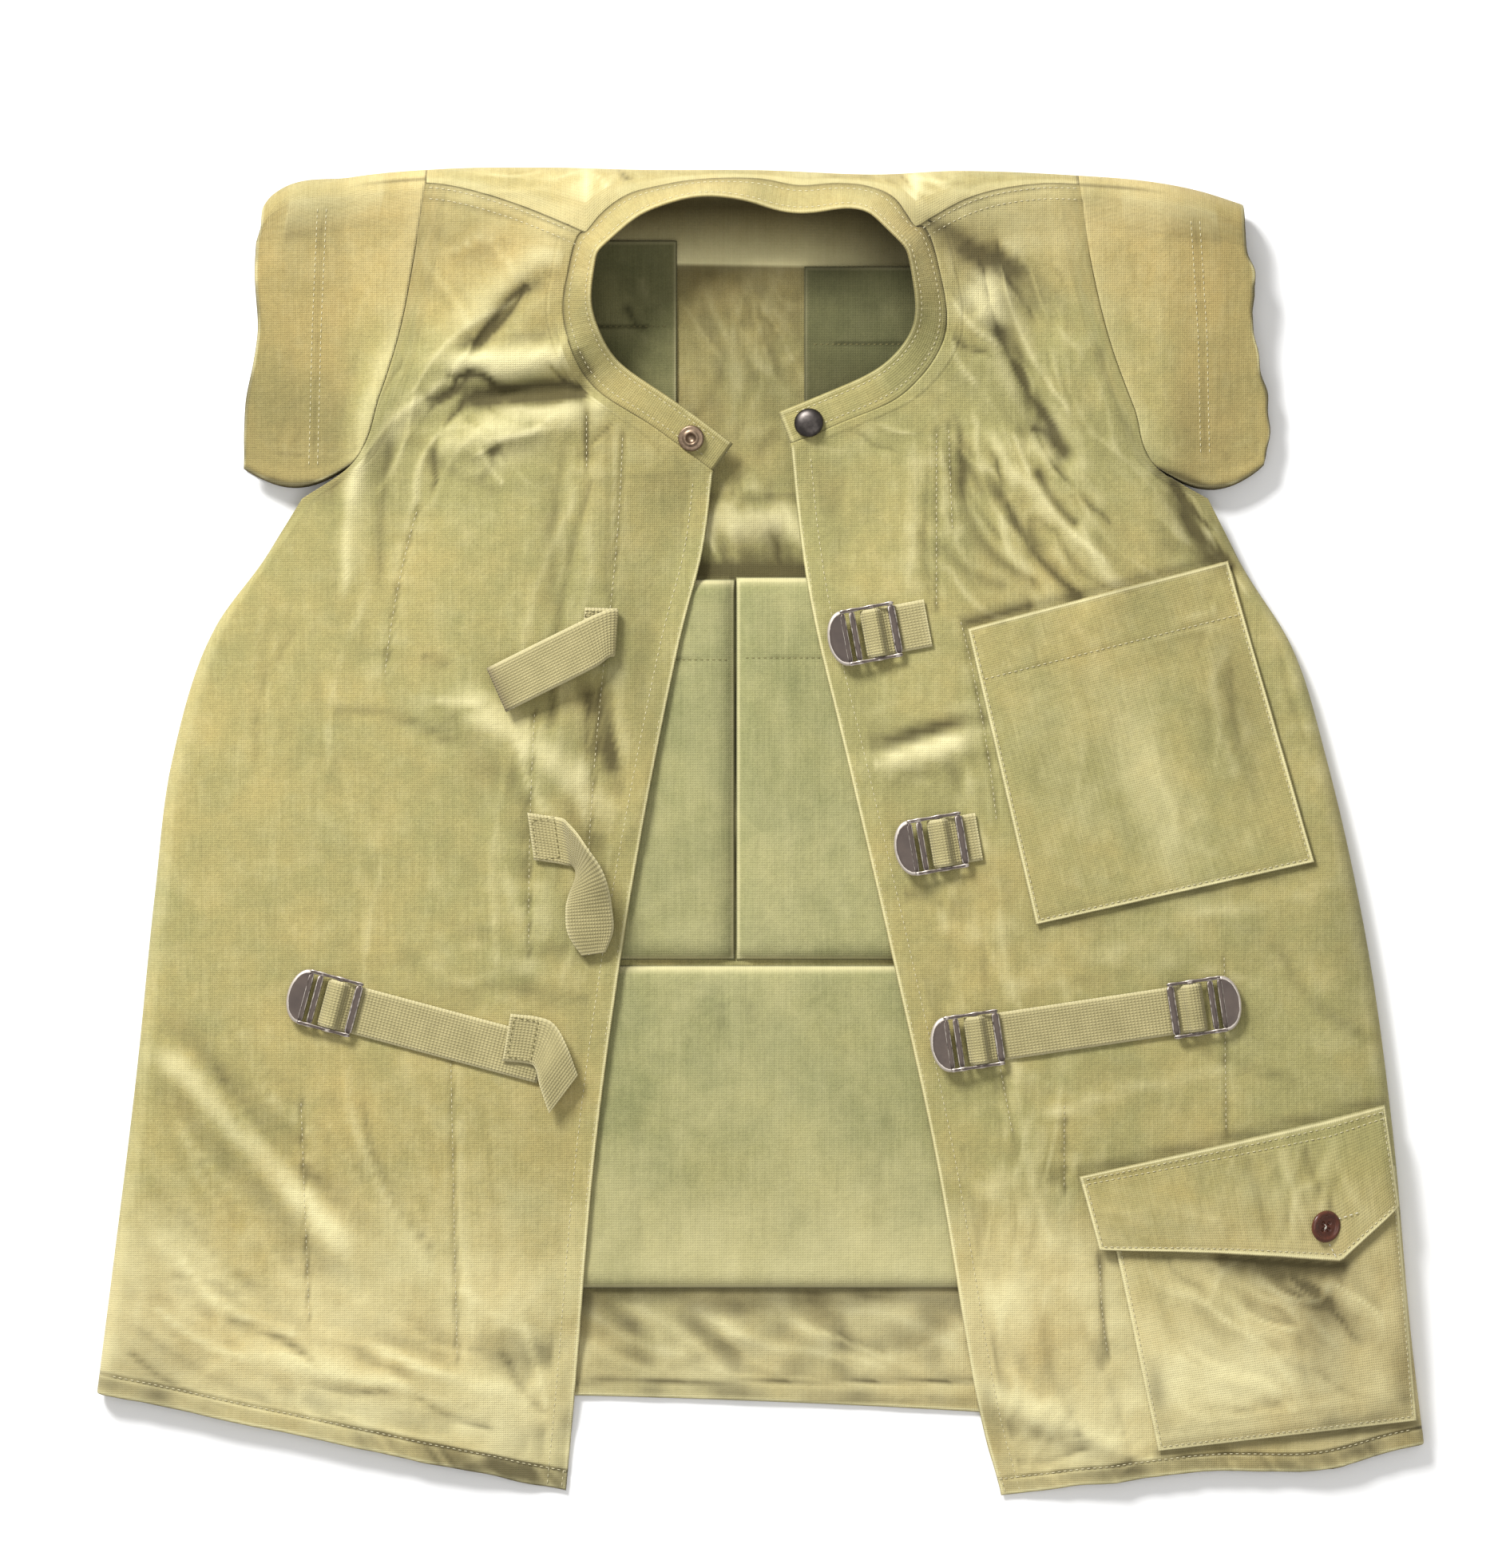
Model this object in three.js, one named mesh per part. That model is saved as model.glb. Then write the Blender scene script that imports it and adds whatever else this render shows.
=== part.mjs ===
// Flak jacket of olive cotton, lying on its back with the fronts open.
// Millimetres, +Z up, neck towards +Y, the wearer's right side towards -X; the floor is z = 0.
// The upper layer is the fronts, the sleeves' front leaves and the back's shoulder part. It is a height over
// the floor, so every piece that lies on it is made from the same points, moved out.
import * as THREE from 'three';

// ---- driving sizes ----
const bodyCloth = 2.0; // shell and inner pocket cloth together
const pocketCloth = 1.5;
const collarCloth = 1.9;
const seamGap = 0.8; // between panels that are sewn edge to edge
const shoulderGap = 2.0; // the same at the curved shoulder seams
const sideGap = 1.4; // and at the side seams, under the roll
const laidGap = 1.3; // between a panel and what is sewn flat on it
const collarGap = 1.2; // between the neckline and the collar
const flapGap = 1.3; // between the hip pocket and its flap
const paddingGap = 0.3; // between the back and what is sewn on its inside
const collarWidth = 17;
const webbing = { width: 24.0, thick: 1.3 };
// From its tip on, a buckle has plate, slot, bar, window and end; core is the bar across the window.
const buckle = {
  width: 28.0, thick: 1.8, rail: 1.3, plate: 8.8, slot: 3.8, bar: 3.2, window: 16.4, core: 3.6, end: 4.0,
};
const openingInset = { slot: 0.8, farWindow: 0.3 }; // how much narrower than the near window
const button = {
  radius: 8, thick: 3, rim: 1.4, dish: 0.9, dishSlope: 1, footInset: 1, footRise: 0.8, topRise: 0.6,
};
const snapCap = { radius: 7.4, rise: 2.6, edge: 0.7 };
const snapSocket = { radius: 6.4, bore: 2.3, rise: 1.8, edge: 0.6, crown: 1.2, lip: 0.8, lipDrop: 0.5 };

// A row per section, hem to shoulder. inner is the front edge and then the neckline; outer is the side fold,
// then the armhole, then the sleeve seam. wrap is 1 where the side rolls under to the side seam and 0 where
// it is open.
const rightSections = [
  { at: 'hem', innerX: -97.8, innerY: -331.0, outerX: -333.0, outerY: -281, wrap: 1 },
  { at: 'skirt', innerX: -92.2, innerY: -271, outerX: -325, outerY: -219, wrap: 1 },
  { at: 'hip', innerX: -83, innerY: -163, outerX: -313, outerY: -121, wrap: 1 },
  { at: 'waist', innerX: -69.8, innerY: -63, outerX: -303.8, outerY: -31, wrap: 1 },
  { at: 'rib', innerX: -56.2, innerY: 17, outerX: -295, outerY: 37, wrap: 1 },
  { at: 'armhole foot', innerX: -41, innerY: 93, outerX: -273.8, outerY: 103, wrap: 0.9 },
  { at: 'armhole', innerX: -29, innerY: 141, outerX: -251, outerY: 136.2, wrap: 0.3 },
  { at: 'neck corner', innerX: -23.8, innerY: 181, outerX: -229.8, outerY: 167, wrap: 0, corner: true },
  { at: 'sleeve foot', innerX: -53.8, innerY: 203, outerX: -205, outerY: 184, wrap: 0 },
  { at: 'chest', innerX: -85, innerY: 224.2, outerX: -190, outerY: 219, wrap: 0 },
  { at: 'neck side', innerX: -97.8, innerY: 253, outerX: -180, outerY: 252, wrap: 0 },
  { at: 'neck', innerX: -96.2, innerY: 277, outerX: -173, outerY: 288, wrap: 0 },
  { at: 'shoulder seam', innerX: -87, innerY: 298.2, outerX: -167, outerY: 324.5, wrap: 0 },
];
const leftSections = [
  { at: 'hem', innerX: 121, innerY: -333.0, outerX: 333.0, outerY: -307, wrap: 1 },
  { at: 'skirt', innerX: 107.8, innerY: -281, outerX: 326.2, outerY: -251, wrap: 1 },
  { at: 'hip', innerX: 88, innerY: -165, outerX: 316.5, outerY: -145, wrap: 1 },
  { at: 'waist', innerX: 68, innerY: -72, outerX: 304, outerY: -55, wrap: 1 },
  { at: 'rib', innerX: 43, innerY: 37, outerX: 283.8, outerY: 37, wrap: 1 },
  { at: 'armhole foot', innerX: 27.8, innerY: 101, outerX: 265.8, outerY: 95, wrap: 0.9 },
  { at: 'armhole', innerX: 20.2, innerY: 145, outerX: 243.8, outerY: 132.2, wrap: 0.3 },
  { at: 'neck corner', innerX: 15, innerY: 194.6, outerX: 224.2, outerY: 167, wrap: 0, corner: true },
  { at: 'sleeve foot', innerX: 39, innerY: 204.2, outerX: 199, outerY: 182, wrap: 0 },
  { at: 'chest', innerX: 71, innerY: 219, outerX: 187, outerY: 212, wrap: 0 },
  { at: 'neck side', innerX: 91, innerY: 245, outerX: 175, outerY: 244.2, wrap: 0 },
  { at: 'neck', innerX: 90.2, innerY: 275, outerX: 165.4, outerY: 283, wrap: 0 },
  { at: 'shoulder seam', innerX: 77, innerY: 301, outerX: 159, outerY: 324.5, wrap: 0 },
];
const sleeveFoot = 8; // the section at which the sleeve seam starts
const lastSection = rightSections.length - 1;

// Top outline of the shoulders, and how far below it, on the upper side, the shoulder and collar seams lie.
const topOutline = [
  { x: -252, y: 309 }, { x: -245, y: 319 }, { x: -205, y: 328.2 }, { x: -157, y: 332.4 },
  { x: -109, y: 332.8 }, { x: -61, y: 331.4 }, { x: 0, y: 331.2 }, { x: 59, y: 329 }, { x: 99, y: 331 },
  { x: 159, y: 329 }, { x: 195, y: 326 }, { x: 219, y: 321.5 }, { x: 243, y: 314 },
];
const backSeam = [
  { x: -170, drop: 7 }, { x: -157, drop: 9 }, { x: -125, drop: 18.5 },
  { x: -87, drop: 34, corner: true }, { x: -80, drop: 25 }, { x: -67, drop: 14.6 }, { x: -49, drop: 8.9 },
  { x: -33, drop: 6 }, { x: 0, drop: 5.2 }, { x: 19, drop: 8 }, { x: 39, drop: 5.8 }, { x: 55, drop: 7.4 },
  { x: 67, drop: 14 }, { x: 77, drop: 29, corner: true },
  { x: 107, drop: 13.6 }, { x: 140, drop: 6 }, { x: 162, drop: 5 },
];

// Height of the upper layer over the floor: by the way up the garment, along the front edges and in soft
// rises. The front edges' own height fades out inwards over edgeReach, and up the neck from edgeTop.
const layRows = [
  { y: -340, height: 8.6 }, { y: -285, height: 11 }, { y: -230, height: 14 }, { y: -60, height: 15.5 },
  { y: 110, height: 15 }, { y: 200, height: 18 }, { y: 260, height: 22 }, { y: 335, height: 24 },
];
const edgeRows = [
  { y: -340, height: 2.8 }, { y: -304, height: 3.4 }, { y: -292, height: 5.2 }, { y: -262, height: 6.4 },
  { y: -238, height: 9.8 }, { y: -215, height: 10.4 }, { y: 110, height: 10.4 }, { y: 150, height: 8 },
  { y: 200, height: 9.5 },
];
const edgeReach = 60;
const edgeTop = 160;
const edgeFade = 60;
const edgeCalm = 0.6; // how much of a fold's depth is lost along the front edges
const rises = [
  { at: 'right neck point', x: -84, y: 292, reachX: 48, reachY: 50, rise: 12 },
  { at: 'left neck point', x: 78, y: 292, reachX: 46, reachY: 50, rise: 12 },
  { at: 'back neck', x: 0, y: 334, reachX: 85, reachY: 42, rise: 10 },
  { at: 'right chest', x: -150, y: 120, reachX: 70, reachY: 80, rise: 3 },
  { at: 'left chest', x: 150, y: 100, reachX: 70, reachY: 80, rise: 3 },
  { at: 'right sleeve falls', x: -262, y: 200, reachX: 60, reachY: 90, rise: -5 },
  { at: 'left sleeve falls', x: 258, y: 200, reachX: 60, reachY: 90, rise: -5 },
];

// The largest folds: a ridge (depth above 0) or a trough from one end to the other, which dies out past
// its ends over foldEnds times its width.
const foldEnds = 1.5;
const folds = [
  { at: 'right shoulder ridge', x0: -108, y0: 286, x1: -186, y1: 214, width: 15, depth: 3.4 },
  { at: 'right neck crease', x0: -114, y0: 272, x1: -142, y1: 244, width: 6.5, depth: -5 },
  { at: 'right chest fold top', x0: -92, y0: 239, x1: -146, y1: 235, width: 8, depth: 3 },
  { at: 'right chest trough', x0: -90, y0: 224, x1: -164, y1: 217, width: 7.5, depth: -6 },
  { at: 'right chest roll', x0: -98, y0: 208, x1: -150, y1: 196, width: 9, depth: 2.6 },
  { at: 'right sleeve ridge', x0: -188, y0: 232, x1: -204, y1: 176, width: 8, depth: 2.4 },
  { at: 'right breast hollow', x0: -84, y0: 66, x1: -74, y1: 22, width: 8, depth: -2.2 },
  { at: 'right breast roll', x0: -136, y0: 58, x1: -72, y1: 12, width: 14, depth: 2.6 },
  { at: 'right skirt folds', x0: -290, y0: -118, x1: -214, y1: -200, width: 9, depth: 2.2 },
  { at: 'right hem swell', x0: -250, y0: -262, x1: -130, y1: -284, width: 14, depth: 2.0 },
  { at: 'left neck hollow', x0: 112, y0: 290, x1: 132, y1: 270, width: 16, depth: -4.5 },
  { at: 'left shoulder crease', x0: 122, y0: 248, x1: 150, y1: 192, width: 6, depth: -4 },
  { at: 'left chest fold', x0: 104, y0: 182, x1: 156, y1: 118, width: 9, depth: -3 },
  { at: 'left chest ridge', x0: 122, y0: 190, x1: 176, y1: 126, width: 9, depth: 2.4 },
  { at: 'left waist fold', x0: 52, y0: 36, x1: 94, y1: 49, width: 6, depth: -2.4 },
  { at: 'left waist ridge', x0: 50, y0: 26, x1: 94, y1: 39, width: 7, depth: 2.6 },
  { at: 'left skirt swell', x0: 120, y0: -180, x1: 134, y1: -290, width: 14, depth: 2 },
];

// ---- curves and heights ----
const clamp = (value, low, high) => Math.min(high, Math.max(low, value));
const mix = (a, b, t) => a + (b - a) * t;
const smooth = (t) => {
  const s = clamp(t, 0, 1);
  return s * s * (3 - 2 * s);
};

// A smooth curve through a table's rows, flat beyond its ends; a row marked corner keeps its corner.
function curve(rows, key, value) {
  const slope = (i, j) => (rows[j][value] - rows[i][value]) / (rows[j][key] - rows[i][key]);
  const slopeAt = (i, from) => {
    if (i === 0) return slope(0, 1);
    if (i === rows.length - 1) return slope(i - 1, i);
    if (rows[i].corner) return from < i ? slope(i - 1, i) : slope(i, i + 1);
    return (slope(i - 1, i) + slope(i, i + 1)) / 2;
  };
  return (at) => {
    const k = clamp(at, rows[0][key], rows.at(-1)[key]);
    let i = 0;
    while (i < rows.length - 2 && k > rows[i + 1][key]) i += 1;
    const span = rows[i + 1][key] - rows[i][key];
    const t = (k - rows[i][key]) / span;
    const a = slopeAt(i, i) * span;
    const b = slopeAt(i + 1, i) * span;
    const p = rows[i][value];
    const q = rows[i + 1][value];
    return p + t * (a + t * (3 * (q - p) - 2 * a - b + t * (2 * (p - q) + a + b)));
  };
}
const bySection = (rows, value) => curve(rows.map((row, section) => ({ ...row, section })), 'section', value);

const makeSide = (rows) => ({
  innerX: bySection(rows, 'innerX'),
  innerY: bySection(rows, 'innerY'),
  outerY: bySection(rows, 'outerY'),
  outlineX: curve(rows, 'outerY', 'outerX'),
  wrapAtY: curve(rows, 'outerY', 'wrap'),
  openX: curve(rows.filter((row, i) => i < sleeveFoot), 'innerY', 'innerX'),
});
const right = makeSide(rightSections);
const left = makeSide(leftSections);
const sideOf = (x) => (x < 0 ? right : left);
const topY = curve(topOutline, 'x', 'y');
const seamDrop = curve(backSeam, 'x', 'drop');
const layHeight = curve(layRows, 'y', 'height');
const edgeHeight = curve(edgeRows, 'y', 'height');

const foldDepth = (fold, x, y) => {
  const dx = fold.x1 - fold.x0;
  const dy = fold.y1 - fold.y0;
  const length = Math.hypot(dx, dy);
  const along = ((x - fold.x0) * dx + (y - fold.y0) * dy) / length;
  const across = ((x - fold.x0) * dy - (y - fold.y0) * dx) / length;
  const past = Math.max(0, -along, along - length);
  return fold.depth * Math.exp(-((across / fold.width) ** 2) - (past / (foldEnds * fold.width)) ** 2);
};
const riseHeight = (bump, x, y) => {
  const dx = (x - bump.x) / bump.reachX;
  const dy = (y - bump.y) / bump.reachY;
  return bump.rise * Math.exp(-(dx ** 2) - dy ** 2);
};

// Full thickness of the lay at a point: what a roll at the outline is twice the radius of.
function layThickness(x, y) {
  const side = sideOf(x);
  const inFromEdge = Math.abs(x) - Math.abs(side.openX(y));
  const edgeShare = (1 - smooth(inFromEdge / edgeReach)) * (1 - smooth((y - edgeTop) / edgeFade));
  let height = mix(layHeight(y), edgeHeight(y), edgeShare);
  for (const bump of rises) height += riseHeight(bump, x, y);
  for (const fold of folds) height += foldDepth(fold, x, y) * (1 - edgeCalm * edgeShare);
  return height;
}
const rollAt = (x, y) => layThickness(x, y) / 2;
const wrapAt = (side, y) => clamp(side.wrapAtY(y), 0, 1);
// Share of the full height at a distance in from a rolled outline: a quarter circle from 0.5 to 1.
const quarterCircle = (t) => Math.sqrt(1 - (1 - clamp(t, 0, 1)) ** 2);
const rollShare = (distance, radius) => (1 + quarterCircle(distance / radius)) / 2;

// Height of the upper layer's outer face.
function upperZ(x, y) {
  const side = sideOf(x);
  const thickness = layThickness(x, y);
  const radius = thickness / 2;
  const fromSide = Math.abs(side.outlineX(y)) - Math.abs(x);
  const sideShare = mix(1, rollShare(fromSide, radius), wrapAt(side, y));
  return thickness * sideShare * rollShare(topY(x) - y, radius);
}

// ---- solids ----
const vec = (x, y, z) => new THREE.Vector3(x, y, z);

// A closed wall between two grids of points with the same rows and columns.
function wall(outer, inner) {
  const rows = outer.length;
  const columns = outer[0].length;
  const positions = [...outer.flat(), ...inner.flat()].flatMap((p) => [p.x, p.y, p.z]);
  const at = (layer, i, j) => (layer * rows + i) * columns + j;
  const index = [];
  const quad = (a, b, c, d) => index.push(a, b, c, a, c, d);
  for (let i = 0; i < rows - 1; i += 1) {
    for (let j = 0; j < columns - 1; j += 1) {
      quad(at(0, i, j), at(0, i, j + 1), at(0, i + 1, j + 1), at(0, i + 1, j));
      quad(at(1, i, j), at(1, i + 1, j), at(1, i + 1, j + 1), at(1, i, j + 1));
    }
    quad(at(0, i, 0), at(0, i + 1, 0), at(1, i + 1, 0), at(1, i, 0));
    quad(at(0, i + 1, columns - 1), at(0, i, columns - 1), at(1, i, columns - 1), at(1, i + 1, columns - 1));
  }
  for (let j = 0; j < columns - 1; j += 1) {
    quad(at(0, 0, j + 1), at(0, 0, j), at(1, 0, j), at(1, 0, j + 1));
    quad(at(0, rows - 1, j), at(0, rows - 1, j + 1), at(1, rows - 1, j + 1), at(1, rows - 1, j));
  }
  const geometry = new THREE.BufferGeometry();
  geometry.setAttribute('position', new THREE.Float32BufferAttribute(positions, 3));
  geometry.setIndex(index);
  return facingOut(geometry);
}

// Turns a closed geometry's faces outwards.
function facingOut(geometry) {
  const p = geometry.attributes.position;
  const index = geometry.index.array;
  const [a, b, c] = [vec(), vec(), vec()];
  let volume = 0;
  for (let i = 0; i < index.length; i += 3) {
    a.fromBufferAttribute(p, index[i]);
    b.fromBufferAttribute(p, index[i + 1]);
    c.fromBufferAttribute(p, index[i + 2]);
    volume += a.dot(b.cross(c));
  }
  if (volume < 0) {
    for (let i = 0; i < index.length; i += 3) [index[i], index[i + 1]] = [index[i + 1], index[i]];
  }
  geometry.computeVertexNormals();
  return geometry;
}

// Unit normals of a grid of points, from the differences to the neighbours.
function gridNormals(grid) {
  const row = (i) => grid[clamp(i, 0, grid.length - 1)];
  const point = (i, j) => row(i)[clamp(j, 0, grid[0].length - 1)];
  return grid.map((line, i) => line.map((_, j) => {
    const down = point(i + 1, j).clone().sub(point(i - 1, j));
    const across = point(i, j + 1).clone().sub(point(i, j - 1));
    return across.cross(down).normalize();
  }));
}

// A sheet of cloth: its outer face is the grid, its inner face is one thickness behind.
function sheet(grid, thickness) {
  const normals = gridNormals(grid);
  const behind = (p, i, j) => p.clone().addScaledVector(normals[i][j], -thickness);
  const inner = grid.map((line, i) => line.map((p, j) => behind(p, i, j)));
  return wall(grid, inner);
}

// Even steps from one value to another, both ends included.
const steps = (count, from = 0, to = 1) => {
  const marks = Array.from({ length: count + 1 }, (_, i) => i / count);
  return marks.map((t) => mix(from, to, t));
};
const makeGrid = (rows, columns, point) => rows.map((v) => columns.map((u) => point(u, v)));

// ---- fronts ----
const rollColumns = 6; // from the flat part round the side fold
const sectionSteps = 2;

// Plan position between a section's inner end and its outer end, bent at the shoulder to follow the seam.
function frontPlan(side, share, section) {
  const outerY = side.outerY(section);
  const x = mix(side.innerX(section), side.outlineX(outerY), share);
  const line = mix(side.innerY(section), outerY, share);
  const nearSeam = smooth(section - lastSection + 1);
  return { x, y: mix(line, topY(x) - seamDrop(x) - shoulderGap, nearSeam) };
}

function frontGrid(side, flatColumns) {
  const inward = side === right ? 1 : -1;
  const sections = steps(lastSection * sectionSteps, 0, lastSection);
  return sections.map((section) => {
    const end = frontPlan(side, 1, section);
    const start = frontPlan(side, 0, section);
    const width = Math.abs(end.x - start.x);
    const wrap = wrapAt(side, end.y);
    const radius = rollAt(end.x, end.y);
    const line = flatColumns.map((u) => {
      const p = frontPlan(side, u * (1 - radius / width), section);
      return vec(p.x, p.y, upperZ(p.x, p.y));
    });
    const foot = seamGap * (1 - wrap); // keeps an open edge clear of the sleeve
    for (let k = 1; k <= rollColumns; k += 1) {
      const t = k / rollColumns;
      const angle = Math.PI * (0.5 - t);
      const shift = mix(radius * (1 - t) + foot * t, radius * (1 - Math.cos(angle)), wrap);
      const p = frontPlan(side, 1 - shift / width, section);
      const x = end.x + inward * shift;
      const crest = upperZ(end.x + inward * radius, p.y);
      const rolled = t < 0.5 ? radius + (crest - radius) * Math.sin(angle) : radius * (1 + Math.sin(angle));
      line.push(vec(x, p.y, mix(upperZ(x, p.y), rolled, wrap)));
    }
    return line;
  });
}

// ---- back, with the shoulder part that comes over to the front ----
const neckRight = backSeam.find((row) => row.corner).x;
const neckLeft = backSeam.findLast((row) => row.corner).x;
const backRight = right.outlineX(rightSections.at(-1).outerY);
const backLeft = left.outlineX(leftSections.at(-1).outerY);
const shareAt = (x) => (x - backRight) / (backLeft - backRight);
const shoulderColumns = 5; // on each side of the neck
const neckColumns = 12;
const backColumns = [
  ...steps(shoulderColumns, 0, shareAt(neckRight)),
  ...steps(neckColumns, shareAt(neckRight), shareAt(neckLeft)).slice(1),
  ...steps(shoulderColumns, shareAt(neckLeft), 1).slice(1),
];
const floorSections = 11;
const underRollRows = 3; // from the floor up to the outline
const overRollRows = 4; // from the outline to the seam on the upper side

// Point on the shoulder roll: turn -1 at the floor, 0 at the outline, 1 at the seam on the upper side.
function shoulderPoint(x, turn, drop) {
  const top = topY(x);
  const radius = rollAt(x, top);
  if (turn <= 0) {
    const angle = turn * Math.PI / 2;
    return vec(x, top - radius * (1 - Math.cos(angle)), radius * (1 + Math.sin(angle)));
  }
  const arc = Math.min(drop, radius);
  const arcAngle = Math.acos(1 - arc / radius);
  const arcShare = arcAngle * radius / (arcAngle * radius + drop - arc);
  const inFromTop = turn <= arcShare
    ? radius * (1 - Math.cos(arcAngle * turn / arcShare))
    : arc + (drop - arc) * (turn - arcShare) / (1 - arcShare);
  return vec(x, top - inFromTop, upperZ(x, top - inFromTop));
}

function backGrid() {
  const seamX = (side, section, inward) => {
    const y = side.outerY(section);
    const x = side.outlineX(y);
    return x + inward * (wrapAt(side, y) * rollAt(x, y) + sideGap);
  };
  const sections = steps(floorSections * sectionSteps, 0, floorSections);
  const floor = makeGrid(sections, backColumns, (u, section) => {
    const x = mix(seamX(right, section, 1), seamX(left, section, -1), u);
    const y = mix(right.outerY(section), left.outerY(section), u);
    return vec(x, y, 0);
  });
  const turns = [...steps(underRollRows, -1, 0), ...steps(overRollRows, 0, 1).slice(1)];
  const shoulder = makeGrid(turns, backColumns, (u, turn) => {
    const x = mix(backRight + seamGap, backLeft - seamGap, u);
    return shoulderPoint(x, turn, seamDrop(x));
  });
  return [...floor, ...shoulder];
}

// ---- sleeves: a front leaf, a fold along the shoulder, and a back leaf on the floor ----
const sleeveRows = {
  right: [
    { section: 8, edgeX: -260, edgeY: 182, sag: -10 }, { section: 9, edgeX: -258.5, edgeY: 213, sag: -4 },
    { section: 10, edgeX: -252.5, edgeY: 250, sag: 0 }, { section: 11, edgeX: -253.5, edgeY: 281, sag: 0 },
    { section: 11.5, edgeX: -252.5, edgeY: 295, sag: 0 },
  ],
  left: [
    { section: 8, edgeX: 255, edgeY: 184, sag: -11 }, { section: 9, edgeX: 256.5, edgeY: 210, sag: -4 },
    { section: 10, edgeX: 250.2, edgeY: 245, sag: 0 }, { section: 11, edgeX: 247.5, edgeY: 280, sag: 0 },
    { section: 11.5, edgeX: 245.5, edgeY: 293, sag: 0 },
  ],
};
const sleeveTop = { right: { inner: -167, edge: -250 }, left: { inner: 159, edge: 242 } };
const sleeveColumns = 5;
const sleeveLeafRows = 7;
const sleeveRollRows = 3;

function sleeveGrid(name) {
  const side = name === 'right' ? right : left;
  const outward = name === 'right' ? -1 : 1;
  const rows = sleeveRows[name];
  const [edgeX, edgeY, sag] = ['edgeX', 'edgeY', 'sag'].map((key) => curve(rows, 'section', key));
  const columns = steps(sleeveColumns);
  const leaf = (section, height) => columns.map((u) => {
    const innerY = side.outerY(section);
    const x = mix(side.outlineX(innerY) + outward * seamGap, edgeX(section), u);
    const y = mix(innerY, edgeY(section), u) + sag(section) * Math.sin(Math.PI * u);
    return vec(x, y, height(x, y));
  });
  const roll = (turn) => columns.map((u) => {
    const top = sleeveTop[name];
    const seam = shoulderPoint(top.inner, turn, rollAt(top.inner, topY(top.inner)));
    const x = mix(side.outlineX(seam.y) + outward * seamGap, top.edge, u);
    return shoulderPoint(x, turn, rollAt(x, topY(x)));
  });
  const sections = steps(sleeveLeafRows, rows[0].section, rows.at(-1).section);
  return [
    ...sections.map((section) => leaf(section, upperZ)),
    ...steps(sleeveRollRows, 1, 0).map(roll),
    ...steps(sleeveRollRows, 0, -1).slice(1).map(roll),
    ...sections.toReversed().map((section) => leaf(section, () => 0)),
  ];
}

// ---- collar band, from the seam points of the fronts and the back ----
// lean is the band's angle above the horizontal, towards the neck.
const collarLean = [
  { at: 0, lean: 6 }, { at: 0.16, lean: 10 }, { at: 0.27, lean: 44 }, { at: 0.36, lean: 42 },
  { at: 0.45, lean: 58 }, { at: 0.5, lean: 44 }, { at: 0.54, lean: 26 }, { at: 0.6, lean: 42 },
  { at: 0.66, lean: 38 }, { at: 0.76, lean: 34 }, { at: 0.86, lean: 10 }, { at: 1, lean: 6 },
];
const leanAt = curve(collarLean, 'at', 'lean');
const neckCentre = { x: -5, y: 262 };
const collarSection = 7; // the section at the collar's front corners
const necklineSteps = 10;
const collarRows = 3;

function neckSeam() {
  const neckline = (side) => steps(necklineSteps, collarSection, lastSection).map((section) => {
    const p = frontPlan(side, 0, section);
    return vec(p.x, p.y, upperZ(p.x, p.y));
  });
  const backX = steps(neckColumns, neckRight, neckLeft).slice(1, -1);
  const back = backX.map((x) => shoulderPoint(x, 1, seamDrop(x)));
  return [...neckline(right), ...back, ...neckline(left).reverse()];
}

function collarGrid() {
  const seam = neckSeam();
  const lengths = seam.reduce((sum, p, i) => [...sum, i ? sum[i - 1] + p.distanceTo(seam[i - 1]) : 0], []);
  const inwards = seam.map((p, i) => {
    const after = seam[Math.min(i + 1, seam.length - 1)];
    const before = seam[Math.max(i - 1, 0)];
    const tangent = after.clone().sub(before).setZ(0).normalize();
    const normal = vec(-tangent.y, tangent.x, 0);
    return normal.dot(vec(neckCentre.x - p.x, neckCentre.y - p.y, 0)) < 0 ? normal.negate() : normal;
  });
  return steps(collarRows).map((share) => seam.map((p, i) => {
    const lean = THREE.MathUtils.degToRad(leanAt(lengths[i] / lengths.at(-1)));
    const reach = mix(collarGap, collarWidth, share);
    const up = vec(0, 0, Math.sin(lean) * reach);
    return p.clone().addScaledVector(inwards[i], Math.cos(lean) * reach).add(up);
  }));
}

// ---- inner pockets on the back's inside, filled ones as pillows ----
const innerPockets = [
  { name: 'inner_pocket_upper_right', x0: -152, x1: -13.2, y0: -64, y1: 127, thick: 4.4, edge: 2.6 },
  { name: 'inner_pocket_upper_left', x0: -11.4, x1: 132, y0: -64, y1: 128, thick: 4.4, edge: 2.6 },
  { name: 'inner_pocket_lower', x0: -152, x1: 140, y0: -229, y1: -67, thick: 3.8, edge: 2.2 },
  { name: 'inner_pocket_shoulder_right', x0: -150, x1: -42, y0: 136, y1: 297, thick: 2.2, edge: 1.6 },
  { name: 'inner_pocket_shoulder_left', x0: 22, x1: 134, y0: 136, y1: 284, thick: 2.2, edge: 1.6 },
];
const pillowEdge = 0.08; // share of the width over which a pillow's edge rounds off
const pillowMarks = [0, 0.03, pillowEdge, 0.25, 0.5, 0.75, 1 - pillowEdge, 0.97, 1];

function pillow({ x0, x1, y0, y1, thick, edge }) {
  const round = (t) => quarterCircle(Math.min(t, 1 - t) / pillowEdge);
  const base = bodyCloth + paddingGap;
  const top = (u, v) => base + mix(edge, thick, round(u) * round(v));
  const face = (height) => makeGrid(pillowMarks, pillowMarks, (u, v) => (
    vec(mix(x0, x1, u), mix(y0, y1, v), height(u, v))
  ));
  return wall(face(top), face(() => base));
}

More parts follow.
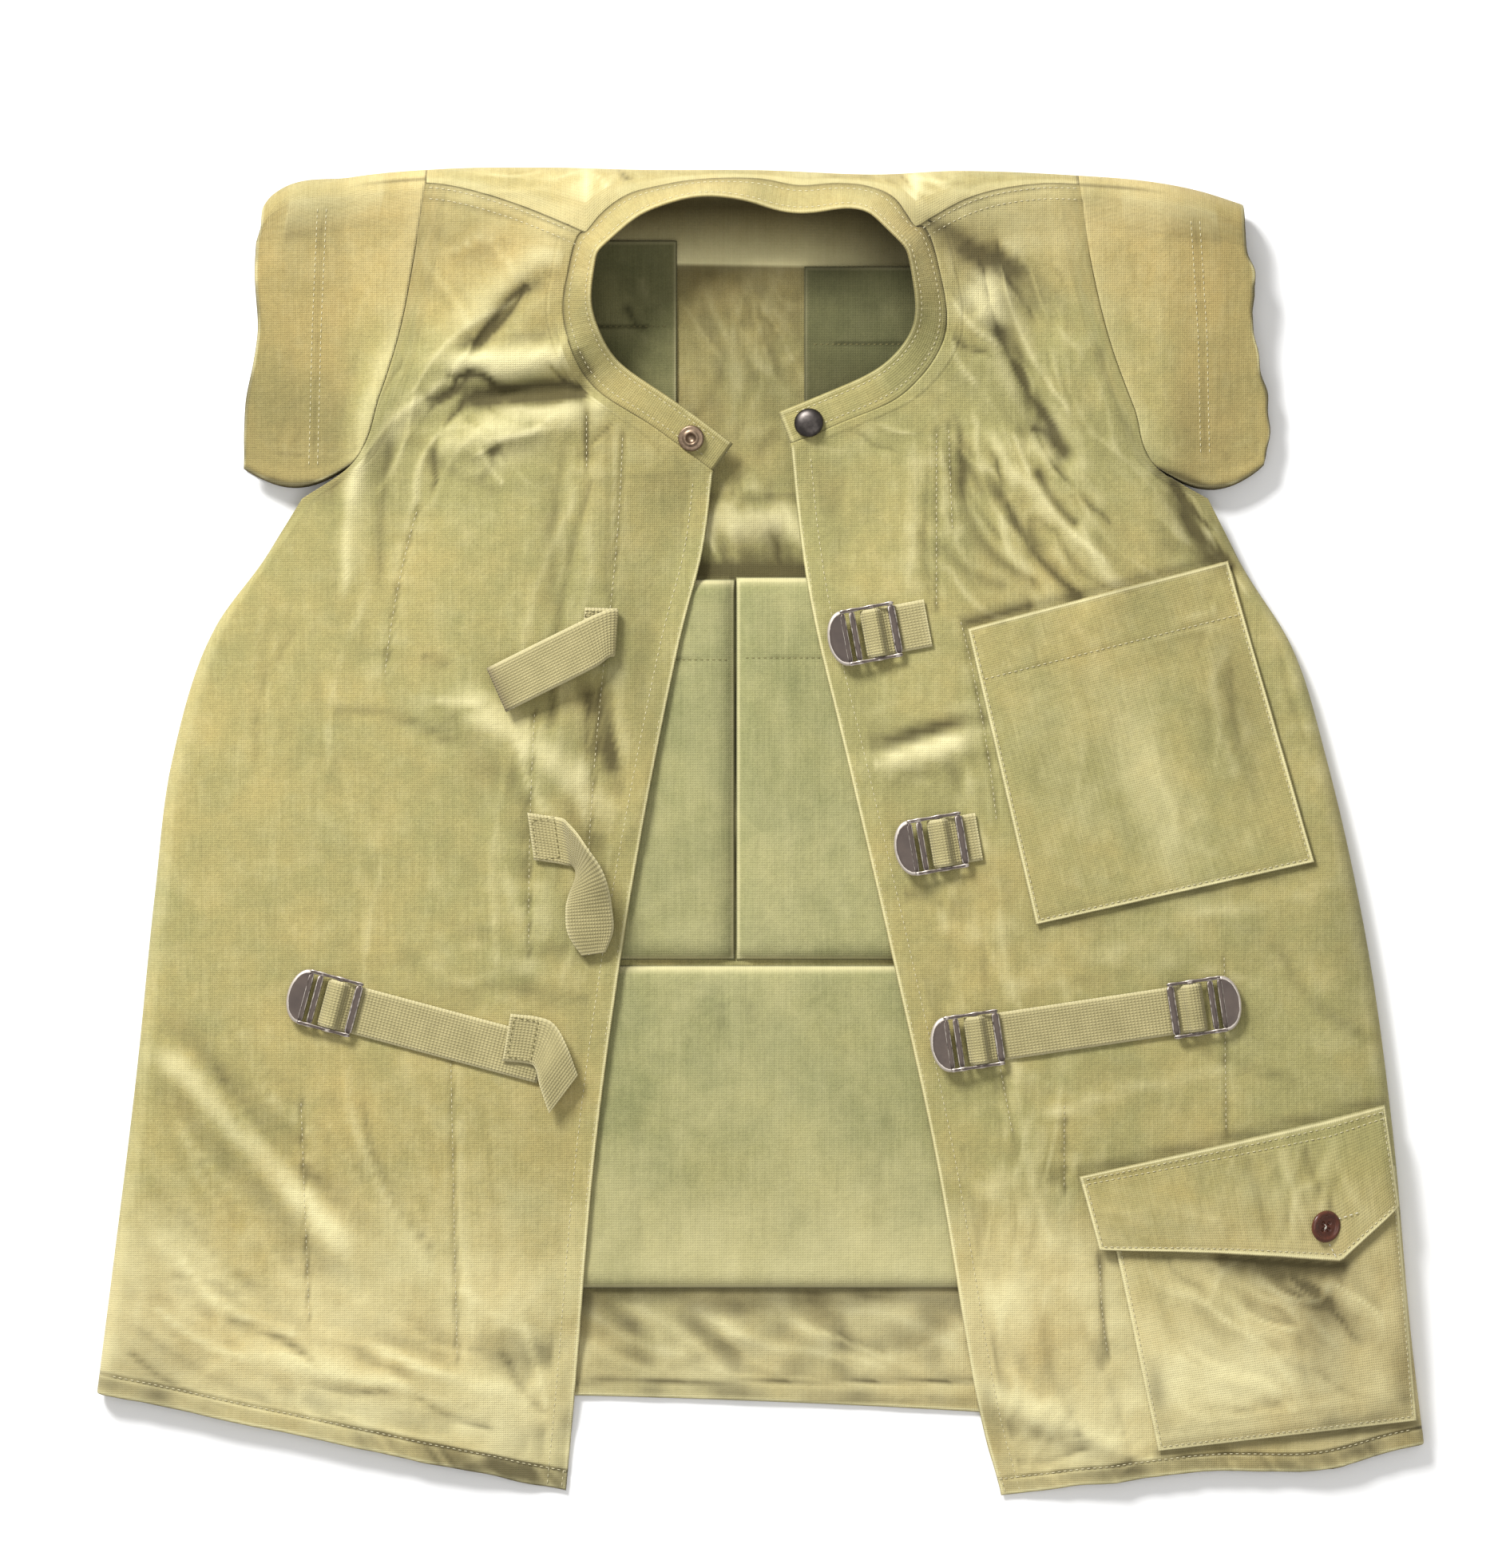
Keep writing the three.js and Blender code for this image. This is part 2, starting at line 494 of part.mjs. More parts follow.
// ---- pockets on the left front: four corners laid on the upper layer ----
const pocketBase = laidGap + pocketCloth;
const chestPocket = {
  foot: [{ x: 139, y: -47 }, { x: 277, y: -15 }],
  mouth: [{ x: 103.8, y: 103 }, { x: 234, y: 135 }],
  gape: 2.2, // how far its mouth stands open
};
const hipPocket = {
  foot: [{ x: 197, y: -311 }, { x: 328.5, y: -296 }],
  mouth: [{ x: 170, y: -196 }, { x: 317.6, y: -168 }],
  puff: 3.4, // how far its bellows folds lift it
};
const flapRows = [
  { share: 0, topX: 160, topY: -173, footX: 169, footY: -209 },
  { share: 0.78, topX: 281, topY: -144, footX: 291, footY: -214, corner: true },
  { share: 1, topX: 310.6, topY: -137.5, footX: 318, footY: -188 },
];
const flapPuffTop = 0.85; // share of the flap's height below which the pocket lifts it
const flapPuffFade = 0.6;
const towardsEdge = (t) => 1 - (1 - t) ** 1.7; // columns closer together on the side roll

const chestPocketLift = (u, v) => pocketBase + chestPocket.gape * v ** 6 * Math.sin(Math.PI * u);
const puffAcross = (u) => hipPocket.puff * Math.sin(Math.PI * clamp(u, 0, 1)) ** 0.6;
const hipPocketLift = (u, v) => pocketBase + puffAcross(u) * Math.sin(Math.PI * v) ** 0.5;

function laidPatch({ foot, mouth }, liftAt, columns, rowCount) {
  return makeGrid(steps(rowCount), columns, (u, v) => {
    const x = mix(mix(foot[0].x, foot[1].x, u), mix(mouth[0].x, mouth[1].x, u), v);
    const y = mix(mix(foot[0].y, foot[1].y, u), mix(mouth[0].y, mouth[1].y, u), v);
    return vec(x, y, upperZ(x, y) + liftAt(u, v));
  });
}

function flapGrid() {
  const byShare = (key) => curve(flapRows, 'share', key);
  const [topXAt, topYAt, footXAt, footYAt] = ['topX', 'topY', 'footX', 'footY'].map(byShare);
  const pointShare = flapRows.find((row) => row.corner).share;
  const columns = [...steps(9, 0, pointShare), ...steps(5, pointShare, 1).slice(1)];
  return makeGrid(steps(6), columns, (u, v) => {
    const x = mix(footXAt(u), topXAt(u), v);
    const y = mix(footYAt(u), topYAt(u), v);
    const overPuff = puffAcross(u) * smooth((flapPuffTop - v) / flapPuffFade);
    return vec(x, y, upperZ(x, y) + pocketBase + flapGap + pocketCloth + overPuff);
  });
}

// ---- webbing ----
const laidLift = 2; // a ribbon no higher than this over the panel follows it across its width
const freeLift = 5; // and one as high as this is straight across

// A ribbon through rows of centre, lift over the panel, direction across and tilt, in degrees.
function ribbon(rows, count, columns = 4) {
  const path = rows.map((row, i) => ({ tilt: 0, wide: webbing.width, ...row, i }));
  const byRow = (key) => curve(path, 'i', key);
  const [cx, cy, lift, across, tilt, wide] = ['x', 'y', 'lift', 'across', 'tilt', 'wide'].map(byRow);
  const grid = steps(count, 0, rows.length - 1).map((i) => {
    const flat = THREE.MathUtils.degToRad(across(i));
    const up = THREE.MathUtils.degToRad(tilt(i));
    const direction = vec(Math.cos(flat) * Math.cos(up), Math.sin(flat) * Math.cos(up), Math.sin(up));
    const centre = vec(cx(i), cy(i), upperZ(cx(i), cy(i)) + lift(i));
    const laid = 1 - clamp((lift(i) - laidLift) / (freeLift - laidLift), 0, 1);
    return steps(columns, -0.5, 0.5).map((s) => {
      const p = centre.clone().addScaledVector(direction, s * wide(i));
      p.z += laid * (upperZ(p.x, p.y) - upperZ(centre.x, centre.y));
      return p;
    });
  });
  return sheet(grid, -webbing.thick);
}

// A ribbon's row on a line from a buckle: distance along the strap, lift, and the strap's bearing.
const along = (start, bearing, distance, lift) => {
  const a = THREE.MathUtils.degToRad(bearing);
  const x = start.x + Math.cos(a) * distance;
  const y = start.y + Math.sin(a) * distance;
  return { x, y, lift, across: bearing + 90 };
};

const laidStrap = laidGap + webbing.thick;
const buckleLift = laidStrap + 0.6; // underside of a buckle over the panel
const buckleLength = buckle.plate + buckle.slot + buckle.bar + buckle.window + buckle.end;

// Buckles: tip is the end of the half-round plate, bearing the way from it to the end bar.
const buckles = [
  { name: 'buckle_upper_left', tip: { x: 33.6, y: 95.4 }, bearing: 10.6, loopEnd: 51 },
  { name: 'buckle_middle_left', tip: { x: 66.9, y: -9.3 }, bearing: 9.7, loopEnd: 43 },
  { name: 'buckle_lower_left', tip: { x: 85, y: -107.4 }, bearing: 8.5, loopEnd: 78.4 },
  { name: 'buckle_side_left', tip: { x: 240.2, y: -84.2 }, bearing: 188.5, loopEnd: 78.4 },
  { name: 'buckle_side_right', tip: { x: -236.4, y: -79.8 }, bearing: -15, loopEnd: 132 },
];

// Flat pressed frame with a half-round thumb plate, a slot, a bar and a window that a core bar divides.
function buckleShape() {
  const half = buckle.width / 2;
  const shape = new THREE.Shape();
  shape.moveTo(buckleLength, -half);
  shape.lineTo(buckleLength, half);
  shape.absellipse(buckle.plate, 0, buckle.plate, half, Math.PI / 2, 1.5 * Math.PI, false);
  shape.closePath();
  const inside = half - buckle.rail;
  const gap = (buckle.window - buckle.core) / 2;
  const barStart = buckle.plate + buckle.slot;
  const windowStart = barStart + buckle.bar;
  const holes = [
    { from: buckle.plate, to: barStart, reach: inside - openingInset.slot },
    { from: windowStart, to: windowStart + gap, reach: inside },
    {
      from: windowStart + gap + buckle.core,
      to: windowStart + buckle.window,
      reach: inside - openingInset.farWindow,
    },
  ];
  for (const { from, to, reach } of holes) {
    const hole = new THREE.Path();
    hole.moveTo(from, -reach);
    hole.lineTo(to, -reach);
    hole.lineTo(to, reach);
    hole.lineTo(from, reach);
    hole.closePath();
    shape.holes.push(hole);
  }
  return shape;
}

function buckleMesh({ name, tip, bearing }) {
  const options = { depth: buckle.thick, bevelEnabled: false, curveSegments: 8 };
  const mesh = new THREE.Mesh(new THREE.ExtrudeGeometry(buckleShape(), options), materials.metal);
  const a = THREE.MathUtils.degToRad(bearing);
  const reach = (d) => vec(tip.x + Math.cos(a) * d, tip.y + Math.sin(a) * d, 0);
  const heights = makeGrid(steps(4), steps(2, -0.5, 0.5), (w, s) => {
    const p = reach(s * buckleLength);
    return upperZ(p.x - Math.sin(a) * w * buckle.width, p.y + Math.cos(a) * w * buckle.width);
  });
  const highest = Math.max(...heights.flat());
  mesh.position.set(tip.x, tip.y, highest + buckleLift);
  mesh.rotation.z = a;
  mesh.name = name;
  return mesh;
}

// Webbing that is sewn down beyond a buckle, passes under its end bar and over its core bar. A row before
// or after the middle of the core bar stands at a share of the loop's spread from it.
const loop = {
  clearance: 0.8, // over the core bar
  tuckPast: 0.6, tuckDrop: 1.2, // the turned end, below the bar before the core
  riseShare: 0.62, riseDrop: 0.5, crestShare: 0.45,
  footPast: 1.7, footLift: 0.1, // back on the panel
  sewnPast: 4, // beyond the buckle
};

function buckleLoopRows({ tip, bearing, loopEnd }, mesh) {
  const over = mesh.position.z + buckle.thick + loop.clearance + webbing.thick;
  const coreMiddle = buckle.plate + buckle.slot + buckle.bar + buckle.window / 2;
  const slotHalf = (buckle.window - buckle.core) / 4;
  const climb = (d) => {
    const p = along(tip, bearing, d, 0);
    return over - upperZ(p.x, p.y);
  };
  const spread = buckle.core / 2 + slotHalf;
  const tuckLift = climb(coreMiddle - spread) - buckle.thick - loop.tuckDrop;
  const sewnStart = buckleLength + loop.sewnPast;
  return [
    along(tip, bearing, coreMiddle - spread - loop.tuckPast, tuckLift),
    along(tip, bearing, coreMiddle - spread * loop.riseShare, climb(coreMiddle) - loop.riseDrop),
    along(tip, bearing, coreMiddle + spread * loop.crestShare, climb(coreMiddle)),
    along(tip, bearing, coreMiddle + spread + loop.footPast, laidStrap + loop.footLift),
    along(tip, bearing, sewnStart, laidStrap),
    along(tip, bearing, mix(sewnStart, loopEnd, 0.5), laidStrap),
    along(tip, bearing, loopEnd, laidStrap),
  ];
}

// Free ends of the straps on the right front.
const strapTopRows = [
  { x: -89, y: 100.5, lift: laidStrap, across: 84 },
  { x: -77, y: 100.2, lift: laidStrap, across: 84 },
  { x: -73, y: 100, lift: laidStrap + 1.4, across: 86 },
  { x: -77, y: 99, lift: laidStrap + 3.4, across: 92 },
  { x: -88, y: 93, lift: laidStrap + 4.2, across: 110 },
  { x: -110, y: 82, lift: laidStrap + 4.4, across: 116 },
  { x: -132, y: 71, lift: laidStrap + 3.2, across: 112, wide: 21 },
];
const strapMiddleRows = [
  { x: -115, y: -2, lift: laidStrap + 0.6, across: 98 },
  { x: -100, y: -4.4, lift: laidStrap + 0.6, across: 98 },
  { x: -95, y: -7, lift: 9, across: 92, tilt: 30 },
  { x: -90, y: -14, lift: 14.5, across: 66, tilt: 52 },
  { x: -87, y: -25, lift: 14.5, across: 26, tilt: 36 },
  { x: -86, y: -38, lift: 10, across: 6, tilt: 12 },
  { x: -85, y: -50, lift: 7, across: 4, tilt: 2 },
  { x: -83.5, y: -61, lift: 4.6, across: 8, tilt: 0, wide: 13 },
];
const strapLowRows = [
  { x: -127, y: -102.5, lift: laidStrap + 2.2, across: 80 },
  { x: -114, y: -104, lift: laidStrap + 2.0, across: 78 },
  { x: -108, y: -107, lift: laidStrap + 3.2, across: 66 },
  { x: -103.5, y: -117, lift: laidStrap + 6, across: 55 },
  { x: -98.5, y: -131, lift: laidStrap + 5, across: 53 },
];

// ---- round fastenings ----
const roundSegments = 20;
const sewnButtonLift = 1.2; // over the flap, on its threads
const snapLift = 0.3; // over the collar

// Turns a profile of radius and height pairs about the vertical axis.
function lathe(profile) {
  const points = profile.map(([r, h]) => new THREE.Vector2(r, h));
  return new THREE.LatheGeometry(points, roundSegments).rotateX(Math.PI / 2);
}
const buttonGeometry = () => {
  const { radius, thick, rim, dish, dishSlope, footInset, footRise, topRise } = button;
  return lathe([
    [0, 0], [radius - footInset, 0], [radius, footRise], [radius, thick - topRise],
    [radius - rim, thick], [radius - rim - dishSlope, thick - dish], [0, thick - dish],
  ]);
};
const capGeometry = () => {
  const { radius, rise, edge } = snapCap;
  return lathe([
    [0, 0], [radius, 0], [radius, edge],
    [radius * 0.85, rise * 0.75], [radius * 0.45, rise], [0, rise],
  ]);
};
const socketGeometry = () => {
  const { radius, bore, rise, edge, crown, lip, lipDrop } = snapSocket;
  return lathe([
    [bore, 0], [radius, 0], [radius, edge], [radius - crown, rise],
    [bore + lip, rise], [bore, rise - lipDrop], [bore, 0],
  ]);
};

// Sets a round piece on one of a grid's points, its axis along the surface's normal.
function setOn(grid, { row, column }, geometry, material, name, lift) {
  const normal = gridNormals(grid)[row][column];
  if (normal.z < 0) normal.negate();
  const mesh = new THREE.Mesh(geometry, material);
  mesh.position.copy(grid[row][column]).addScaledVector(normal, lift);
  mesh.quaternion.setFromUnitVectors(vec(0, 0, 1), normal);
  mesh.name = name;
  return mesh;
}

// ---- materials ----
const finish = (color, roughness, metalness = 0) => (
  new THREE.MeshStandardMaterial({ color, roughness, metalness })
);
const materials = {
  shell: finish('#b8ab6f', 0.9),
  inner: finish('#a8a873', 0.92),
  webbing: finish('#b3ab7c', 0.88),
  metal: finish('#5b4a45', 0.42, 0.8),
  snap: finish('#3d3a38', 0.35, 0.85),
  socket: finish('#b9a68c', 0.35, 0.85),
  button: finish('#4c2c1c', 0.4),
};

// ---- the garment ----
const garment = new THREE.Group();
const add = (name, geometry, material) => {
  const mesh = new THREE.Mesh(geometry, material);
  mesh.name = name;
  garment.add(mesh);
  return mesh;
};

const frontColumns = [0, 0.04, ...steps(11, 0.1, 1)]; // closer together at the front edge
const collarPoints = collarGrid();
add('back', sheet(backGrid(), -bodyCloth), materials.shell);
add('right_front', sheet(frontGrid(right, frontColumns), -bodyCloth), materials.shell);
add('left_front', sheet(frontGrid(left, frontColumns), bodyCloth), materials.shell);
add('right_sleeve', sheet(sleeveGrid('right'), -bodyCloth), materials.shell);
add('left_sleeve', sheet(sleeveGrid('left'), bodyCloth), materials.shell);
add('collar', sheet(collarPoints, -collarCloth), materials.shell);
for (const pocket of innerPockets) add(pocket.name, pillow(pocket), materials.inner);

const chestPatch = laidPatch(chestPocket, chestPocketLift, steps(10), 12);
const hipPatch = laidPatch(hipPocket, hipPocketLift, steps(12).map(towardsEdge), 10);
const flap = flapGrid();
add('chest_pocket', sheet(chestPatch, pocketCloth), materials.shell);
add('hip_pocket', sheet(hipPatch, pocketCloth), materials.shell);
add('hip_pocket_flap', sheet(flap, pocketCloth), materials.shell);
const buttonPlace = { row: 2, column: 8 }; // the flap's grid point that it is sewn to
garment.add(setOn(flap, buttonPlace, buttonGeometry(), materials.button, 'flap_button', sewnButtonLift));

const loops = {};
for (const spec of buckles) {
  const mesh = buckleMesh(spec);
  garment.add(mesh);
  loops[spec.name] = buckleLoopRows(spec, mesh);
}
// The strap at the left side runs from one buckle to the other.
const sideLoop = loops.buckle_side_left.map((row) => ({ ...row, across: row.across - 180 }));
const straps = [
  { name: 'strap_upper_left', rows: loops.buckle_upper_left },
  { name: 'strap_middle_left', rows: loops.buckle_middle_left },
  { name: 'strap_side_left', rows: [...loops.buckle_lower_left, ...sideLoop.reverse().slice(1)] },
  { name: 'strap_side_right', rows: loops.buckle_side_right },
];
const stepsPerRow = 4;
for (const { name, rows } of straps) {
  add(name, ribbon(rows, (rows.length - 1) * stepsPerRow, 2), materials.webbing);
}
add('strap_top_right', ribbon(strapTopRows, 18), materials.webbing);
add('strap_middle_right', ribbon(strapMiddleRows, 21), materials.webbing);
add('strap_low_right', ribbon(strapLowRows, 12), materials.webbing);

const rightEnd = { row: 1, column: 1 };
const leftEnd = { row: 1, column: collarPoints[0].length - 2 };
garment.add(setOn(collarPoints, rightEnd, socketGeometry(), materials.socket, 'snap_socket', snapLift));
garment.add(setOn(collarPoints, leftEnd, capGeometry(), materials.snap, 'snap_cap', snapLift));

// The origin is the centre of the underside.
const bounds = new THREE.Box3().setFromObject(garment);
const centre = bounds.getCenter(vec());
garment.position.set(-centre.x, -centre.y, -bounds.min.z);
garment.updateMatrixWorld(true);

export default garment;
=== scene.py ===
import math

import bpy
import numpy as np
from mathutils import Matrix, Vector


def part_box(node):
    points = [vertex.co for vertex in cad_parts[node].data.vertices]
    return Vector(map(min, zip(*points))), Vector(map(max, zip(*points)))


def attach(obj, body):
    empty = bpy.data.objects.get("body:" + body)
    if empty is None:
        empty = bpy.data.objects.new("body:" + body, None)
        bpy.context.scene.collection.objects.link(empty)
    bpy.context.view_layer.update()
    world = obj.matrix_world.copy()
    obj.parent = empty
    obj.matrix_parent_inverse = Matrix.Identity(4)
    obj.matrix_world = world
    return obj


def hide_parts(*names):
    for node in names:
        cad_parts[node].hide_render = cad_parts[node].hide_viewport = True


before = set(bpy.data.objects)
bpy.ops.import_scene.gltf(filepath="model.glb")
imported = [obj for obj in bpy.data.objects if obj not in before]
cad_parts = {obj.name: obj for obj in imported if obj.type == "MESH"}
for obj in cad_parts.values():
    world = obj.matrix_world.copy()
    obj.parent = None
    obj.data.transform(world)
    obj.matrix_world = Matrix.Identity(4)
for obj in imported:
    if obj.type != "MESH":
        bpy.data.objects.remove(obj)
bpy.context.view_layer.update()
mm = 0.001  # shapes below are worked out in millimetres

garment = {
    "bodyCloth": 1.7,
    "pocketCloth": 1.2,
    "collarCloth": 1.5,
    "collarWidth": 17.0,
    "seamGap": 0.12,
    "laidGap": 0.5,
    "rimRound": 1.3,  # the folded edge of a panel rounds off over this
    "hemRise": 8.0,  # of the back's hem, at its middle
    "creaseDepth": 0.62,  # of the finer creases, as a share of what their table gives
    "crinkle": 0.62,  # the crinkled places' depth, as a share of what their table gives
    "rumple": 0.42,  # of the overall unevenness
    "tuckDepth": 0.75,  # of the tucks, as a share of what their table gives
    "tuckShade": 0.8,  # how dark the painted shade in their creases is, in the same way
}
rimSteps = np.array([0, 0.15, 0.4, 0.8, 1.3, 2.0, 3.0])  # rows at a folded edge stand closer together
frontSection, backSection, sleeveSection = 56.0, 60.0, 30.0  # length of cloth from one section to the next
frontWidth = 230.0  # about, from the front edge to the side
shoulderY = 324.5  # where the sleeves' seams reach the roll of the shoulder
farOff = 99.0  # stands for a distance where there is no edge

# a row per section, hem to shoulder: front edge then neckline, side fold then armhole then sleeve seam
sectionColumns = ("innerX", "innerY", "outerX", "outerY", "wrap", "corner")
rightRows = [
    (-97.8, -331.0, -333.0, -281, 1, 0),
    (-92.2, -271, -325, -219, 1, 0),
    (-83, -163, -313, -121, 1, 0),
    (-69.8, -63, -303.8, -31, 1, 0),
    (-56.2, 17, -295, 37, 1, 0),
    (-41, 93, -273.8, 103, 0.9, 0),
    (-29, 141, -251, 136.2, 0.3, 0),
    (-23.8, 181, -229.8, 167, 0, 1),
    (-53.8, 203, -205, 184, 0, 0),
    (-85, 224.2, -190, 219, 0, 0),
    (-97.8, 253, -180, 252, 0, 0),
    (-96.2, 277, -173, 288, 0, 0),
    (-87, 298.2, -167, 324.5, 0, 0),
]
leftRows = [
    (121, -333.0, 333.0, -307, 1, 0),
    (107.8, -281, 326.2, -251, 1, 0),
    (88, -165, 316.5, -145, 1, 0),
    (68, -72, 304, -55, 1, 0),
    (43, 37, 283.8, 37, 1, 0),
    (27.8, 101, 265.8, 95, 0.9, 0),
    (20.2, 145, 243.8, 132.2, 0.3, 0),
    (15, 194.6, 224.2, 167, 0, 1),
    (39, 204.2, 199, 182, 0, 0),
    (71, 219, 187, 212, 0, 0),
    (91, 245, 175, 244.2, 0, 0),
    (90.2, 275, 165.4, 283, 0, 0),
    (77, 301, 159, 324.5, 0, 0),
]
topColumns = ("x", "y")
topRows = [
    (-252, 309), (-245, 319), (-205, 328.2), (-157, 332.4), (-109, 332.8), (-61, 331.4), (0, 331.2),
    (59, 329), (99, 331), (159, 329), (195, 326), (219, 321.5), (243, 314),
]
seamColumns = ("x", "drop", "corner")
seamRows = [
    (-170, 7, 0), (-157, 9, 0), (-125, 18.5, 0), (-87, 34, 1), (-80, 25, 0), (-67, 14.6, 0), (-49, 8.9, 0),
    (-33, 6, 0), (0, 5.2, 0), (19, 8, 0), (39, 5.8, 0), (55, 7.4, 0), (67, 14, 0), (77, 29, 1),
    (107, 13.6, 0), (140, 6, 0), (162, 5, 0),
]
heightColumns = ("y", "height")
layRows = [(-340, 8.6), (-285, 11), (-230, 14), (-60, 15.5), (110, 15), (200, 18), (260, 22), (335, 24)]
edgeRows = [
    (-340, 2.8), (-304, 3.4), (-292, 5.2), (-262, 6.4), (-238, 9.8), (-215, 10.4), (110, 10.4), (150, 8),
    (200, 9.5),
]
edgeReach = 60.0
# soft rises of the lay: x, y, reachX, reachY, rise
rises = [
    (-84, 292, 48, 50, 12), (78, 292, 46, 50, 12), (0, 334, 85, 42, 10), (-150, 120, 70, 80, 3),
    (150, 100, 70, 80, 3), (-262, 200, 60, 90, -5), (258, 200, 60, 90, -5),
]
# main folds: x0, y0, x1, y1, wide, deep (above 0 a ridge, below 0 a trough)
mainFolds = [
    (-108, 286, -186, 214, 15, 3.4), (-114, 272, -142, 244, 6.5, -2.6), (-92, 239, -146, 235, 8, 3),
    (-90, 223, -138, 219, 7.5, -4.6), (-98, 208, -150, 196, 9, 2.6), (-188, 232, -204, 176, 8, 2.4),
    (-84, 66, -74, 22, 8, -2.2), (-136, 58, -72, 12, 14, 2.6), (-290, -118, -214, -200, 9, 2.2),
    (-250, -262, -130, -284, 14, 2.0), (112, 290, 132, 270, 16, -3.6), (122, 248, 150, 192, 6, -4),
    (104, 182, 156, 118, 9, -3), (122, 190, 176, 126, 9, 2.4), (52, 40, 94, 53, 6, -0.7),
    (50, 30, 94, 43, 6, 1.6), (120, -180, 134, -290, 14, 2),
]
